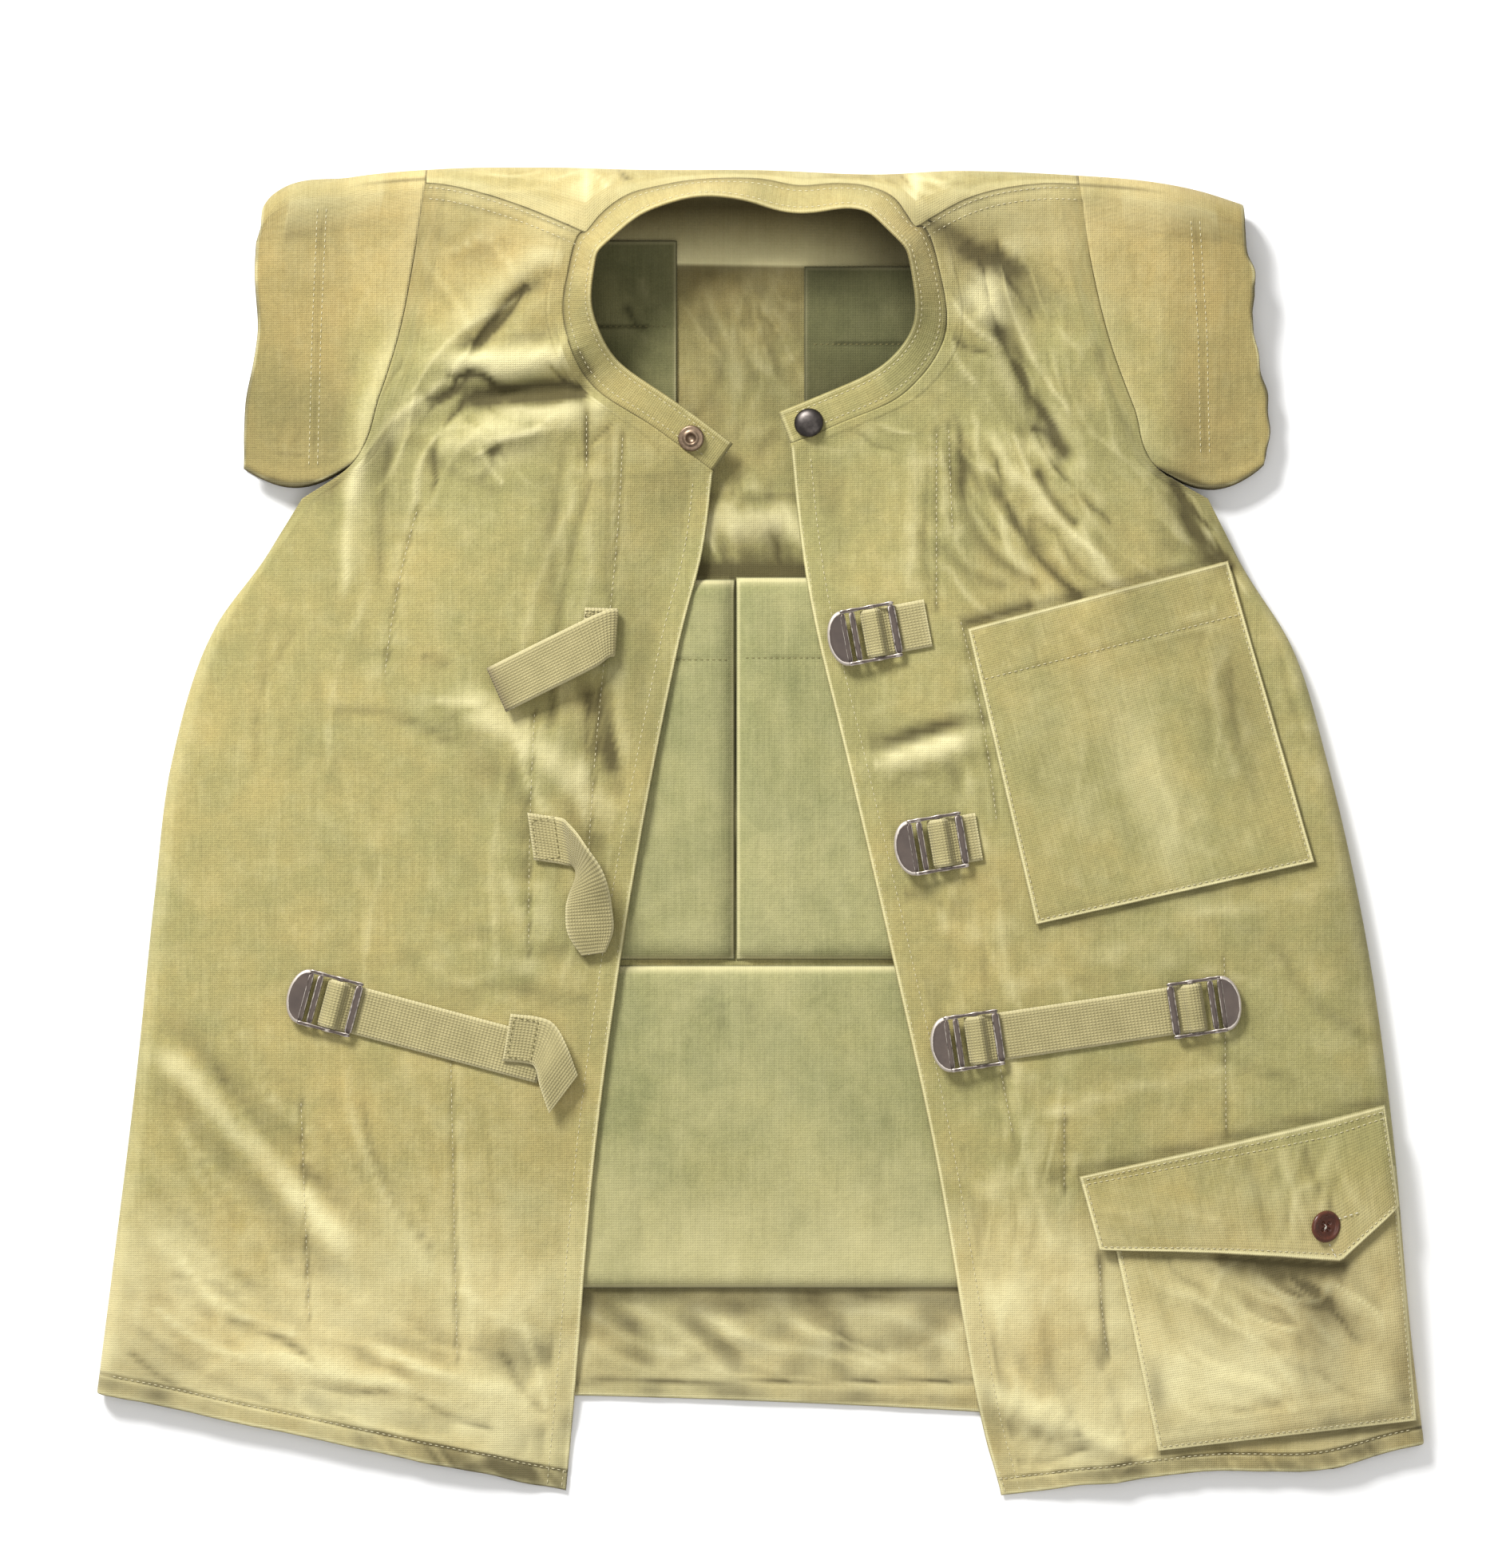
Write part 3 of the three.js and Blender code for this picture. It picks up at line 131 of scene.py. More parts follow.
# finer creases: x0, y0, x1, y1, bend, wide, deep
fineCreases = [
    # right chest: the hooked crease, the slot by the neck and the star under it
    (-163, 214, -152, 227, 3, 3.2, -1.2), (-152, 227, -132, 222, -5, 3.6, -3.0),
    (-132, 218, -92, 221, -4, 4.2, -3.4), (-141, 244, -118, 270, 2, 2.6, -1.2),
    (-146, 240, -124, 264, -3, 5, 1.6), (-137, 214, -110, 205, 4, 5, -0.8),
    (-145, 205, -128, 186, -3, 5, -0.7), (-120, 212, -98, 214, 2, 4, 1.2), (-134, 196, -104, 208, 3, 5, 0.9),
    (-150, 212, -162, 176, 6, 5, -1.6), (-140, 188, -118, 176, -3, 5, 0.7),
    (-160, 200, -172, 168, 4, 6, 1.4), (-108, 300, -150, 292, 4, 5, 0.9), (-128, 262, -172, 222, 6, 4, 1.0),
    (-170, 300, -204, 240, 8, 7, 0.9), (-180, 232, -196, 190, 3, 3.2, -1.2),
    (-174, 214, -190, 172, -3, 4, 1.0), (-92, 250, -100, 236, 2, 3, 1.2),
    (-104, 232, -88, 222, 2, 2.6, -1.6), (-76, 203, -83, 196, 0, 2.4, -1.0),
    (-165, 219, -200, 184, 4, 8, 2.0), (-200, 184, -207, 130, 3, 9, 1.8),
    (-139, 190, -114, 200, -2, 2.8, 1.3), (-139, 190, -130, 176, 1, 2.8, 1.0),
    (-186, 186, -190, 134, 2, 9, -1.2),
    # right breast, down to the straps
    (-73, 196, -74, 122, 0, 2.6, 0.7), (-86, 170, -104, 60, 5, 6, -0.9), (-96, 160, -120, 84, 4, 7, 0.8),
    (-100, 92, -150, 60, -5, 6, -1.0), (-148, 52, -120, 38, -3, 5, -0.6), (-160, 66, -120, 70, 3, 5, 0.9),
    (-74, 66, -72, 40, 1, 4, -0.7), (-86, 62, -84, 30, 2, 4, -1.0), (-120, 42, -98, 2, 5, 5, 1.0),
    (-58, 30, -72, -6, -4, 7, 1.3), (-78, -28, -66, -64, 3, 6, -1.3), (-200, 110, -216, 40, 5, 7, 0.7),
    (-236, 96, -252, 40, 6, 8, -0.8), (-206, 60, -160, 48, -4, 5, -0.8), (-118, 10, -116, -40, 2, 5, -0.8),
    (-128, 30, -132, -60, 4, 6, 0.7), (-190, -20, -198, -90, 3, 5, 0.5),
    # right skirt and hem
    (-258, -104, -226, -150, 6, 6, 0.6), (-270, -122, -236, -176, 5, 5, -0.5),
    (-288, -150, -248, -206, 7, 6, 0.7), (-280, -166, -236, -214, 6, 5, -0.6),
    (-300, -176, -262, -224, 4, 6, 0.6), (-206, -122, -176, -196, 8, 6, 0.6),
    (-198, -140, -166, -206, 7, 4, -0.9), (-290, -214, -236, -250, 7, 5, 1.3),
    (-300, -240, -262, -262, 3, 4, 1.0), (-262, -246, -222, -268, -4, 4, -1.1),
    (-236, -262, -180, -276, 4, 5, 1.2), (-222, -276, -190, -280, 2, 3.5, -0.9),
    (-182, -262, -130, -278, 3, 6, 1.2), (-170, -284, -138, -298, 2, 4, -1.0),
    (-126, -266, -104, -292, 4, 5, -1.0), (-152, -226, -112, -252, 3, 7, 0.8),
    (-118, -250, -104, -312, -2, 5, 1.0), (-210, -292, -160, -304, 2, 4, 0.8),
    (-314, -262, -270, -288, 3, 5, -0.9), (-150, -150, -144, -250, 2, 5, 0.5),
    (-140, -140, -132, -220, -2, 6, -0.5),
    # left shoulder and chest
    (111, 282, 146, 204, 6, 4.2, -1.4), (121, 280, 152, 214, 5, 4, 1.4), (119, 292, 134, 262, 3, 6, -1.8),
    (98, 262, 116, 246, 2, 4, 1.6), (92, 252, 112, 240, 3, 3.4, -1.2), (96, 244, 106, 226, 2, 3, 1.0),
    (150, 250, 176, 196, -6, 7, 0.9), (100, 200, 118, 150, 6, 6, -1.6), (108, 204, 130, 146, 7, 5, 1.3),
    (118, 186, 158, 120, 8, 5, -1.7), (128, 196, 170, 138, 6, 4.5, 1.5), (138, 200, 172, 158, 4, 4, -1.5),
    (170, 196, 214, 146, -4, 6, 0.9), (148, 150, 190, 118, 8, 6, -1.3), (158, 170, 206, 124, 6, 6, 1.0),
    (96, 130, 128, 104, 5, 4, 1.0), (84, 176, 84, 122, 2, 5, -0.9), (76, 190, 74, 130, -2, 6, 0.7),
    (52, 198, 64, 192, 2, 3, -1.0), (62, 203, 74, 200, 1, 2.6, 0.9), (206, 176, 226, 152, 2, 3, -1.3),
    (212, 168, 236, 126, -3, 4, -1.6), (220, 160, 242, 122, 2, 4, 1.0), (194, 230, 214, 186, -3, 6, 0.5),
    # left waist and skirt
    (48, 41, 112, 57, -3, 5, -0.4), (50, 31, 112, 50, -3, 3.6, 0.7), (60, 22, 96, 34, 4, 6, 0.5),
    (96, 40, 104, 16, 3, 5, -0.6), (104, 30, 112, -6, 2, 6, 0.8), (62, -36, 92, -34, -5, 7, -0.9),
    (120, -34, 132, -92, 4, 6, 0.7), (112, -60, 122, -118, 3, 7, -0.6), (128, -122, 144, -200, 3, 7, 0.7),
    (118, -128, 132, -210, 2, 6, -0.6), (118, -236, 146, -300, 5, 10, 1.0),
    (140, -240, 158, -296, 4, 10, -0.6), (112, -268, 132, -300, 3, 9, 0.5),
    (162, -250, 184, -312, -3, 7, -0.5), (200, -96, 260, -122, 4, 7, -0.7), (222, -40, 296, -20, 5, 6, 0.6),
    (150, -140, 230, -120, -3, 6, 0.7), (262, -62, 300, -100, 6, 8, -0.8), (286, 60, 306, -60, 5, 8, 0.7),
    (260, 90, 276, 40, 2, 5, -0.9), (128, -316, 160, -310, 2, 4, -0.8),
    # sleeves
    (-236, 316, -232, 206, 2, 5, -0.5), (-216, 306, -212, 224, -2, 6, 0.5),
    (-250, 246, -256, 196, 2, 5, -0.6), (-206, 300, -188, 262, 4, 6, 0.7),
    (-240, 190, -222, 184, -2, 3.5, -1.0), (236, 300, 236, 214, 2, 5, -0.5),
    (224, 296, 226, 210, -2, 5, 0.5), (246, 236, 250, 190, 2, 4, -0.7), (232, 190, 244, 184, 2, 3.5, -1.0),
    (200, 300, 206, 230, 3, 8, 0.5),
    # over the shoulders
    (-150, 331, -110, 326, 1, 4, 0.6), (-70, 330, -60, 322, 1, 3.5, -1.2), (-80, 326, -64, 314, 2, 3, 0.9),
    (72, 326, 88, 312, 2, 4, -1.6), (84, 328, 100, 318, 2, 4, 1.0), (60, 326, 70, 314, 1, 3, 0.8),
]
# tucks, where one side of a fold stands over the other: x0, y0, x1, y1, bend, wide, deep, painted shade in the
# crease.
# Seen along the line, the steep side is on the left and the cloth runs out softly to the right.
tucks = [
    (-166, 217, -146, 229, 3, 3, 0.9, 0.5), (-146, 229, -129, 221, -2, 4, 0.9, 0.7),
    (-129, 221, -90, 219, 1, 6, 2.4, 1.0), (-117, 272, -142, 244, 2, 2.4, 1.2, 1.0),
    (-91, 240, -85, 230, 0, 3, 1.2, 0.9), (-87, 214, -87, 189, 0, 3, 0.3, 0.4),
    (-140, 177, -134, 190, 2, 3, 0.6, 0.2), (-135, 190, -115, 202, -2, 4, 0.7, 0.25),
    (-166, 193, -134, 172, 4, 6, 0.5, 0.1), (-75, 200, -77, 122, -1, 3, 0.4, 0.15),
    (-100, 182, -104, 118, 2, 9, 0.5, 0.14), (-77, 68, -73, 34, 1, 5, 0.9, 0.3),
    (-79, -24, -66, -64, 3, 6, 0.7, 0.2), (-168, 88, -157, 85, 0, 3, 0.4, 0.2),
    (121, 268, 134, 202, -3, 5, 0.9, 0.32), (142, 212, 137, 202, 1, 2.6, 0, 0.4),
    (137, 202, 147, 194, -2, 4, 0, 0.9), (100, 175, 136, 126, 8, 11, 1.5, 0.42),
    (139, 180, 157, 155, 2, 3, 1.1, 0.5), (92, 142, 120, 124, 3, 6, 0.8, 0.2),
    (86, 303, 112, 288, -2, 9, 0.6, 0.45), (170, 240, 200, 181, 5, 4, 0.6, 0.25),
    (200, 181, 225, 170, -2, 4, 1.0, 0.6), (208, 176, 236, 134, 5, 9, 1.6, 0.7),
    (160, -303, 190, -316, 2, 8, 0.4, 0.3), (170, -212, 171, -267, -1, 2.5, 0.3, 0.3),
    (-300, -176, -256, -226, 4, 7, 0.4, 0.1), (-268, -122, -228, -168, 4, 7, 0.4, 0.1),
    (-200, -262, -150, -275, 3, 7, 0.5, 0.12), (-308, -250, -250, -284, 3, 7, 0.4, 0.12),
    # shade along the pockets' and the flap's edges
    (134, 113, 103, 104.5, 0, 5, 0, 1.2), (234, 138.5, 134, 113, 0, 2.6, 0, 0.6),
    (312, -134.5, 159, -170.5, 0, 2.8, 0, 0.7), (169, -211, 232, -213, 0, 4, 0, 0.6),
    (232, -213, 290, -217, 0, 8, 0, 1.0), (290, -217, 320, -190, 0, 4, 0, 0.5),
    (137.6, -47.5, 277.2, -16, 0, 3, 0, 0.6), (199, -311.5, 329, -296, 0, 4, 0, 0.7),
]
# painted shade and painted light: places where the cloth is painted darker in a hollow or paler on a swell: x,
# y, reachX, reachY, way in degrees, painted shade, painted light
litAndShadedPatches = [
    (102, 291, 26, 9, -28, 0.50, 0), (108, 270, 6, 15, -50, 0, 0.7), (115, 262, 8, 14, 10, 0, 0.8),
    (-182, 202, 24, 5, 45, 0, 0.4), (-203, 158, 28, 6, 83, 0, 0.28), (-184, 165, 30, 12, 78, 0.16, 0),
    (-126, 188, 16, 6, 20, 0, 0.2), (130, 262, 8, 20, 14, 0.22, 0), (218, 154, 26, 10, -50, 0.42, 0),
    (-103, 146, 8, 44, 2, 0.14, 0), (-60, 80, 15, 100, 8, 0.24, 0), (230, -60, 60, 20, 10, 0.10, 0),
    (230, -180, 60, 24, 10, 0.12, 0), (146, 203, 5, 8, -30, 0, 0.35), (141, 190, 12, 4, -20, 0, 0.3),
    (-128, 214, 34, 6, -2, 0.30, 0), (-130, 236, 26, 7, 20, 0, 0.35), (-146, 258, 8, 22, -42, 0, 0.25),
    (-120, 200, 22, 10, 12, 0, 0.22), (-140, 300, 50, 14, -6, 0.16, 0), (132, 306, 44, 12, 8, 0.16, 0),
    (238, 66, 13, 36, 10, 0.34, 0), (196, 20, 14, 56, 20, 0, 0.34), (150, 40, 20, 50, 12, 0, 0.10),
    (79, 44, 27, 4, 13, 0, 0.45), (80, 51, 27, 3.4, 13, 0.34, 0), (84, 33, 26, 5, 14, 0.14, 0),
    (296, -40, 12, 110, 4, 0.26, 0), (232, -274, 40, 14, 5, 0, 0.50), (280, -250, 12, 32, 0, 0.36, 0),
    (264, -230, 34, 8, -30, 0.34, 0), (322, -268, 8, 24, 0, 0.34, 0), (300, -300, 26, 7, 8, 0.22, 0),
    (262, -218, 40, 7, -2, 0.40, 0), (224, -300, 50, 6, 6, 0, 0.30), (140, -301, 36, 5.5, -22, 0.42, 0),
    (132, -288, 36, 6, -24, 0, 0.55), (-190, -292, 90, 8, -8, 0, 0.34), (-286, -214, 36, 12, -46, 0, 0.25),
    (-306, -268, 22, 12, -20, 0.22, 0), (-90, 10, 16, 70, 4, 0.14, 0), (284, -236, 26, 6, -36, 0.30, 0),
    (160, 196, 18, 30, 20, 0.12, 0), (-232, 300, 20, 24, 0, 0, 0.12),
]
# stitched lines on the fronts that pucker the cloth: x0, y0, x1, y1, bend
quiltLines = [
    (-171.8, 161, -188, 78.6, 2), (-230, -135, -226, -243, 0), (-155, -115, -152, -263, 0),
    (-87, 209, -87, 181, 0), (-69, 198, -76, 106, -1), (-76, 106, -88, -60, 2), (-113, 60, -116, -60, 1),
    (88, 200, 88, 112, 0), (94, 202, 96, 150, 0), (100, 106, 118, 6, -2), (152, -136, 152, -178, 0),
    (232, -62, 233, -150, 0), (120, -118, 126, -150, 0), (170, -216, 174, -262, 1),
    (-219, 312, -224, 182, 0), (217, 306, 222.5, 190, -1),
]

panelHues = {
    "olive": "#98925f",
    "khaki": "#ae9a62",
    "pale": "#dfd6a4",
    "shade": "#3d351d",
}


def smoothCurve(columns, rows, key, value):
    # cubic between rows, each slope the mean of the two chords beside it, except at a row marked corner
    table = np.array(rows, float)
    at = table[:, columns.index(key)]
    val = table[:, columns.index(value)]
    corner = table[:, columns.index("corner")] > 0 if "corner" in columns else np.zeros(len(at), bool)
    chord = np.diff(val) / np.diff(at)
    before = np.concatenate([chord[:1], chord])
    after = np.concatenate([chord, chord[-1:]])
    mean = (before + after) / 2
    slopeIn = np.where(corner, before, mean)
    slopeOut = np.where(corner, after, mean)

    def curve(k):
        k = np.clip(np.asarray(k, float), at[0], at[-1])
        i = np.clip(np.searchsorted(at, k, side="right") - 1, 0, len(at) - 2)
        span = at[i + 1] - at[i]
        t = (k - at[i]) / span
        a, b = slopeOut[i] * span, slopeIn[i + 1] * span
        p, q = val[i], val[i + 1]
        return p + t * (a + t * (3 * (q - p) - 2 * a - b + t * (2 * (p - q) + a + b)))

    return curve


def bySection(rows, value):
    # one column of a side's rows, as a curve over the number of the section
    numbered = [(i, *row) for i, row in enumerate(rows)]
    return smoothCurve(("section", *sectionColumns), numbered, "section", value)


def mix(a, b, t):
    # a line from a to b
    return a + (b - a) * t


def smooth(t):
    # the cubic step 3t^2 - 2t^3, level at both ends
    t = np.clip(t, 0, 1)
    return t * t * (3 - 2 * t)


def bell(d, wide):
    # exp(-(d / wide)^2)
    return np.exp(-((d / wide) ** 2))


lattice = np.random.default_rng(11).uniform(-1, 1, (97, 89))


def cloudNoise(x, y, size, shift=0.0):
    # random values on a square lattice of this size, blended smoothly between its points
    gx = x / size + 31.7 + shift * 7.3
    gy = y / size + 17.3 + shift * 3.1
    i, j = np.floor(gx).astype(int), np.floor(gy).astype(int)
    fx, fy = smooth(gx - i), smooth(gy - j)
    low = mix(lattice[i % 97, j % 89], lattice[(i + 1) % 97, j % 89], fx)
    high = mix(lattice[i % 97, (j + 1) % 89], lattice[(i + 1) % 97, (j + 1) % 89], fx)
    return mix(low, high, fy)


def rumple(x, y, shift=0.0):
    # soft swells with creases on them: a ridged noise, bent by a wider one
    bx = x + 9 * cloudNoise(x, y, 42, shift + 5)
    by = y + 9 * cloudNoise(x, y, 42, shift + 9)
    ridges = 1 - 2.2 * np.abs(cloudNoise(bx * 0.9 + by * 0.35, by * 0.5, 19, shift))
    swell = cloudNoise(x, y, 52, shift + 2)
    return 0.55 * swell + 0.26 * ridges * (0.4 + 0.6 * np.abs(swell)) + 0.12 * cloudNoise(bx, by, 8, shift + 1)


# where the cloth is crinkled: x, y, reachX, reachY, the way its wrinkles run in degrees, spacing, depth
crinkles = [
    (-126, 216, 44, 34, 12, 17, 1.2), (-148, 178, 40, 34, 62, 18, 0.9), (-104, 190, 22, 40, 84, 15, 0.6),
    (-160, 280, 50, 40, -50, 20, 0.9), (-96, 90, 36, 70, 82, 17, 0.9), (-150, 50, 60, 30, -20, 22, 0.5),
    (-230, 70, 34, 60, 80, 20, 0.8), (-100, -20, 36, 60, 84, 15, 0.9), (-120, -72, 60, 26, -12, 13, 0.9),
    (-256, -170, 46, 56, -52, 17, 0.8), (-190, -170, 30, 50, -66, 20, 0.6),
    (-290, -244, 36, 36, -38, 14, 0.8), (-190, -270, 100, 26, -10, 17, 1.2),
    (-114, -270, 30, 50, 66, 17, 0.8), (-200, -20, 60, 60, 88, 24, 0.5), (118, 276, 26, 30, -60, 12, 1.9),
    (138, 226, 28, 40, -72, 13, 1.8), (112, 170, 36, 34, -62, 14, 1.6), (160, 168, 40, 40, -52, 14, 1.6),
    (218, 150, 28, 28, -50, 11, 1.7), (190, 250, 34, 50, 84, 18, 0.7), (56, 150, 28, 60, 84, 15, 0.7),
    (82, 40, 40, 24, 10, 16, 0.6), (86, -40, 34, 60, 78, 15, 1.0), (130, -90, 40, 50, -66, 17, 0.8),
    (210, -80, 70, 30, -8, 15, 0.8), (136, -180, 30, 60, 82, 16, 1.1), (146, -278, 44, 44, 72, 16, 1.0),
    (230, -322, 120, 16, 8, 12, 2.0), (280, 40, 26, 70, 82, 18, 0.8), (-238, 260, 26, 70, 84, 14, 0.7),
    (238, 250, 26, 70, 84, 13, 0.8), (-236, 196, 28, 16, 6, 9, 1.1), (232, 192, 30, 16, 6, 9, 1.1),
    (-110, 322, 60, 14, 12, 12, 1.0), (100, 322, 60, 14, -14, 12, 1.3), (0, 326, 90, 10, 4, 12, 0.9),
]


def wrinkled(x, y, way, spacing, shift):
    # crests that run one way: noise stretched along them, its zero line drawn up into a ridge
    a = math.radians(way)
    along, across = x * math.cos(a) + y * math.sin(a), y * math.cos(a) - x * math.sin(a)
    across = across + 0.35 * spacing * cloudNoise(along, across, 1.9 * spacing, shift + 3)
    n = cloudNoise(along / 3.2, across, 0.62 * spacing, shift)
    fine = cloudNoise(along / 2.6, across, 0.27 * spacing, shift + 1)
    ridge = np.clip(1 - np.abs(n) / 0.36, 0, 1) ** 1.3
    return 0.75 * ridge - 0.35 + 0.55 * n + 0.28 * fine


def crinkleLift(x, y, zones):
    total = np.zeros_like(x)
    for i, (cx, cy, reachX, reachY, way, spacing, deep) in enumerate(zones):
        share = np.exp(-(((x - cx) / reachX) ** 2) - ((y - cy) / reachY) ** 2)
        near = share > 0.02
        if near.any():
            crests = wrinkled(x[near], y[near], way, 1.3 * spacing, 1.7 * i)
            total[near] += garment["crinkle"] * deep * share[near] * crests
    return total


class Side:
    # one half of the garment, its curves over the number of a section or over y
    def __init__(self, rows, sign):
        self.sign = sign  # -1 on the wearer's right, +1 on the left
        self.innerX = bySection(rows, "innerX")
        self.innerY = bySection(rows, "innerY")
        self.outerY = bySection(rows, "outerY")
        self.outlineX = smoothCurve(sectionColumns, rows, "outerY", "outerX")
        self.wrapAtY = smoothCurve(sectionColumns, rows, "outerY", "wrap")
        self.openX = smoothCurve(sectionColumns, rows[:8], "innerY", "innerX")

    def wrap(self, y):
        return np.clip(self.wrapAtY(y), 0, 1)


right, left = Side(rightRows, -1), Side(leftRows, 1)
lastSection = len(rightRows) - 1
topY = smoothCurve(topColumns, topRows, "x", "y")
seamDrop = smoothCurve(seamColumns, seamRows, "x", "drop")
layHeight = smoothCurve(heightColumns, layRows, "y", "height")
edgeHeight = smoothCurve(heightColumns, edgeRows, "y", "height")


def bySide(x, pick):
    # the right half's value where x is below 0, and else the left half's
    return np.where(x < 0, pick(right), pick(left))


def alongLine(x, y, x0, y0, x1, y1, bend=0.0):
    # distance across a line bowed by bend, place along it from 0 to 1, and distance past its ends
    length = math.hypot(x1 - x0, y1 - y0)
    along = ((x - x0) * (x1 - x0) + (y - y0) * (y1 - y0)) / length
    across = ((x - x0) * (y1 - y0) - (y - y0) * (x1 - x0)) / length
    t = np.clip(along / length, 0, 1)
    past = np.maximum(0, np.maximum(-along, along - length))
    return across - bend * 4 * t * (1 - t), t, past, length


def lay(x, y):
    # thickness of the garment as it lies: soft rows up the body, thinner along the front edges, plus its
    # folds
    inFromEdge = np.abs(x) - np.abs(bySide(x, lambda s: s.openX(y)))
    share = (1 - smooth(inFromEdge / edgeReach)) * (1 - smooth((y - 160) / 60))
    height = mix(layHeight(y), edgeHeight(y), share)
    # each rise is a round bell, and each main fold a bell across its line
    for rx, ry, reachX, reachY, rise in rises:
        height = height + rise * np.exp(-(((x - rx) / reachX) ** 2) - ((y - ry) / reachY) ** 2)
    for x0, y0, x1, y1, wide, deep in mainFolds:
        across, _, past, _ = alongLine(x, y, x0, y0, x1, y1)
        height = height + deep * bell(across, wide) * bell(past, 1.5 * wide) * (1 - 0.6 * share)
    return height


def creaseLift(x, y):
    # each crease is a bell across its line, sharper than a round one, narrower towards its ends
    total = np.zeros_like(x)
    for x0, y0, x1, y1, bend, wide, deep in fineCreases:
        near = (x > min(x0, x1) - 32) & (x < max(x0, x1) + 32) & (y > min(y0, y1) - 32) & (y < max(y0, y1) + 32)
        if not near.any():
            continue
        across, t, past, _ = alongLine(x[near], y[near], x0, y0, x1, y1, bend)
        width = wide * (0.65 + 0.35 * np.sin(np.pi * t))
        sharp = np.exp(-(np.abs(across) / (0.6 * width)) ** 1.15)
        total[near] += garment["creaseDepth"] * deep * sharp * bell(past, 1.3 * wide)
    return total


def tuckShape(x, y, x0, y0, x1, y1, bend, wide, steep):
    # 1 in the crease, falling off exponentially: fast on the steep side, over its width on the other
    across, _, past, _ = alongLine(x, y, x0, y0, x1, y1, bend)
    near = np.sqrt(across ** 2 + 4) - 2
    return np.exp(-near / np.where(across > 0, wide, steep)) * bell(past, wide), across


def tuckLift(x, y):
    # a crease with a bulge behind its steep side
    total = np.zeros_like(x)
    for x0, y0, x1, y1, bend, wide, deep, _ in tucks:
        crease, across = tuckShape(x, y, x0, y0, x1, y1, bend, wide, 2.4)
        bulge = 0.5 * bell(across + 7, 5) * (crease + bell(across, 12) * (crease > 1e-9) * 0.5)
        total += garment["tuckDepth"] * deep * (bulge - crease)
    return total


def tuckShade(x, y):
    # painted shade in each tuck's crease, falling off as its shape does, but faster
    total = np.zeros_like(x)
    for x0, y0, x1, y1, bend, wide, _, creaseShade in tucks:
        crease, _ = tuckShape(x, y, x0, y0, x1, y1, bend, 0.45 * wide, 1.2)
        total += garment["tuckShade"] * creaseShade * crease
    return total


def paintedLightAndShade(x, y, part):
    # painted shade (part 0) and painted light (part 1), in soft oval patches turned to their own way
    total = np.zeros_like(x)
    for cx, cy, reachX, reachY, way, *much in litAndShadedPatches:
        a = math.radians(way)
        along = (x - cx) * math.cos(a) + (y - cy) * math.sin(a)
        across = (y - cy) * math.cos(a) - (x - cx) * math.sin(a)
        total += much[part] * bell(along, reachX) * bell(across, reachY)
    return total


def puckerLift(d, s, deep=0.45, tug=0.35, shift=0.0):
    # a seam pulls the cloth down in a narrow groove, with short uneven waves standing off it
    waves = cloudNoise(s, 3.0 * shift + 0 * s, 6.5, shift)
    return -deep * bell(d, 1.3) + tug * waves * np.exp(-np.abs(d) / 6.5)


def panelDetail(x, y):
    # creases, tucks, crinkled places, unevenness and puckered seams, added up
    total = creaseLift(x, y) + tuckLift(x, y) + crinkleLift(x, y, crinkles) + garment["rumple"] * rumple(x, y)
    for i, (x0, y0, x1, y1, bend) in enumerate(quiltLines):
        d, t, past, length = alongLine(x, y, x0, y0, x1, y1, bend)
        total = total + puckerLift(d, t * length, 0.5, 0.4, i) * bell(past, 3)
    return total


def upperBase(x, y):
    # outer face of the upper layer: full height, rolled down round at the side folds and over the shoulders
    thick = lay(x, y)
    radius = thick / 2
    fromSide = np.abs(bySide(x, lambda s: s.outlineX(y))) - np.abs(x)
    rollShare = lambda d: (1 + np.sqrt(1 - (1 - np.clip(d / radius, 0, 1)) ** 2)) / 2
    sideShare = mix(1, rollShare(fromSide), bySide(x, lambda s: s.wrap(y)))
    return thick * sideShare * rollShare(topY(x) - y)


def upperZ(x, y):
    # the base and its detail, which is calmer where the cloth rolls over an edge
    x, y = np.asarray(x, float), np.asarray(y, float)
    x, y = np.broadcast_arrays(x, y)
    calm = smooth((topY(x) - y) / 6) * smooth((np.abs(bySide(x, lambda s: s.outlineX(y))) - np.abs(x) + 4) / 12)
    return upperBase(x, y) + panelDetail(x.copy(), y.copy()) * mix(0.35, 1, calm)


def gridNormals(points):
    # the cross product of the differences along the two ways of a grid, at length 1
    across = np.gradient(points, axis=1)
    down = np.gradient(points, axis=0)
    n = np.cross(across, down)
    return n / np.maximum(np.linalg.norm(n, axis=2, keepdims=True), 1e-9)


def wallFaces(rows, cols):
    # quads on two equal grids of points, one after the other, and strips that join their four rims
    o, i = np.arange(2 * rows * cols).reshape(2, rows, cols)
    corners = [
        (o[:-1, :-1], o[:-1, 1:], o[1:, 1:], o[1:, :-1]), (i[:-1, :-1], i[1:, :-1], i[1:, 1:], i[:-1, 1:]),
        (o[0, 1:], o[0, :-1], i[0, :-1], i[0, 1:]), (o[-1, :-1], o[-1, 1:], i[-1, 1:], i[-1, :-1]),
        (o[:-1, 0], o[1:, 0], i[1:, 0], i[:-1, 0]), (o[1:, -1], o[:-1, -1], i[:-1, -1], i[1:, -1]),
    ]
    return np.concatenate([np.stack(four, axis=-1).reshape(-1, 4) for four in corners])


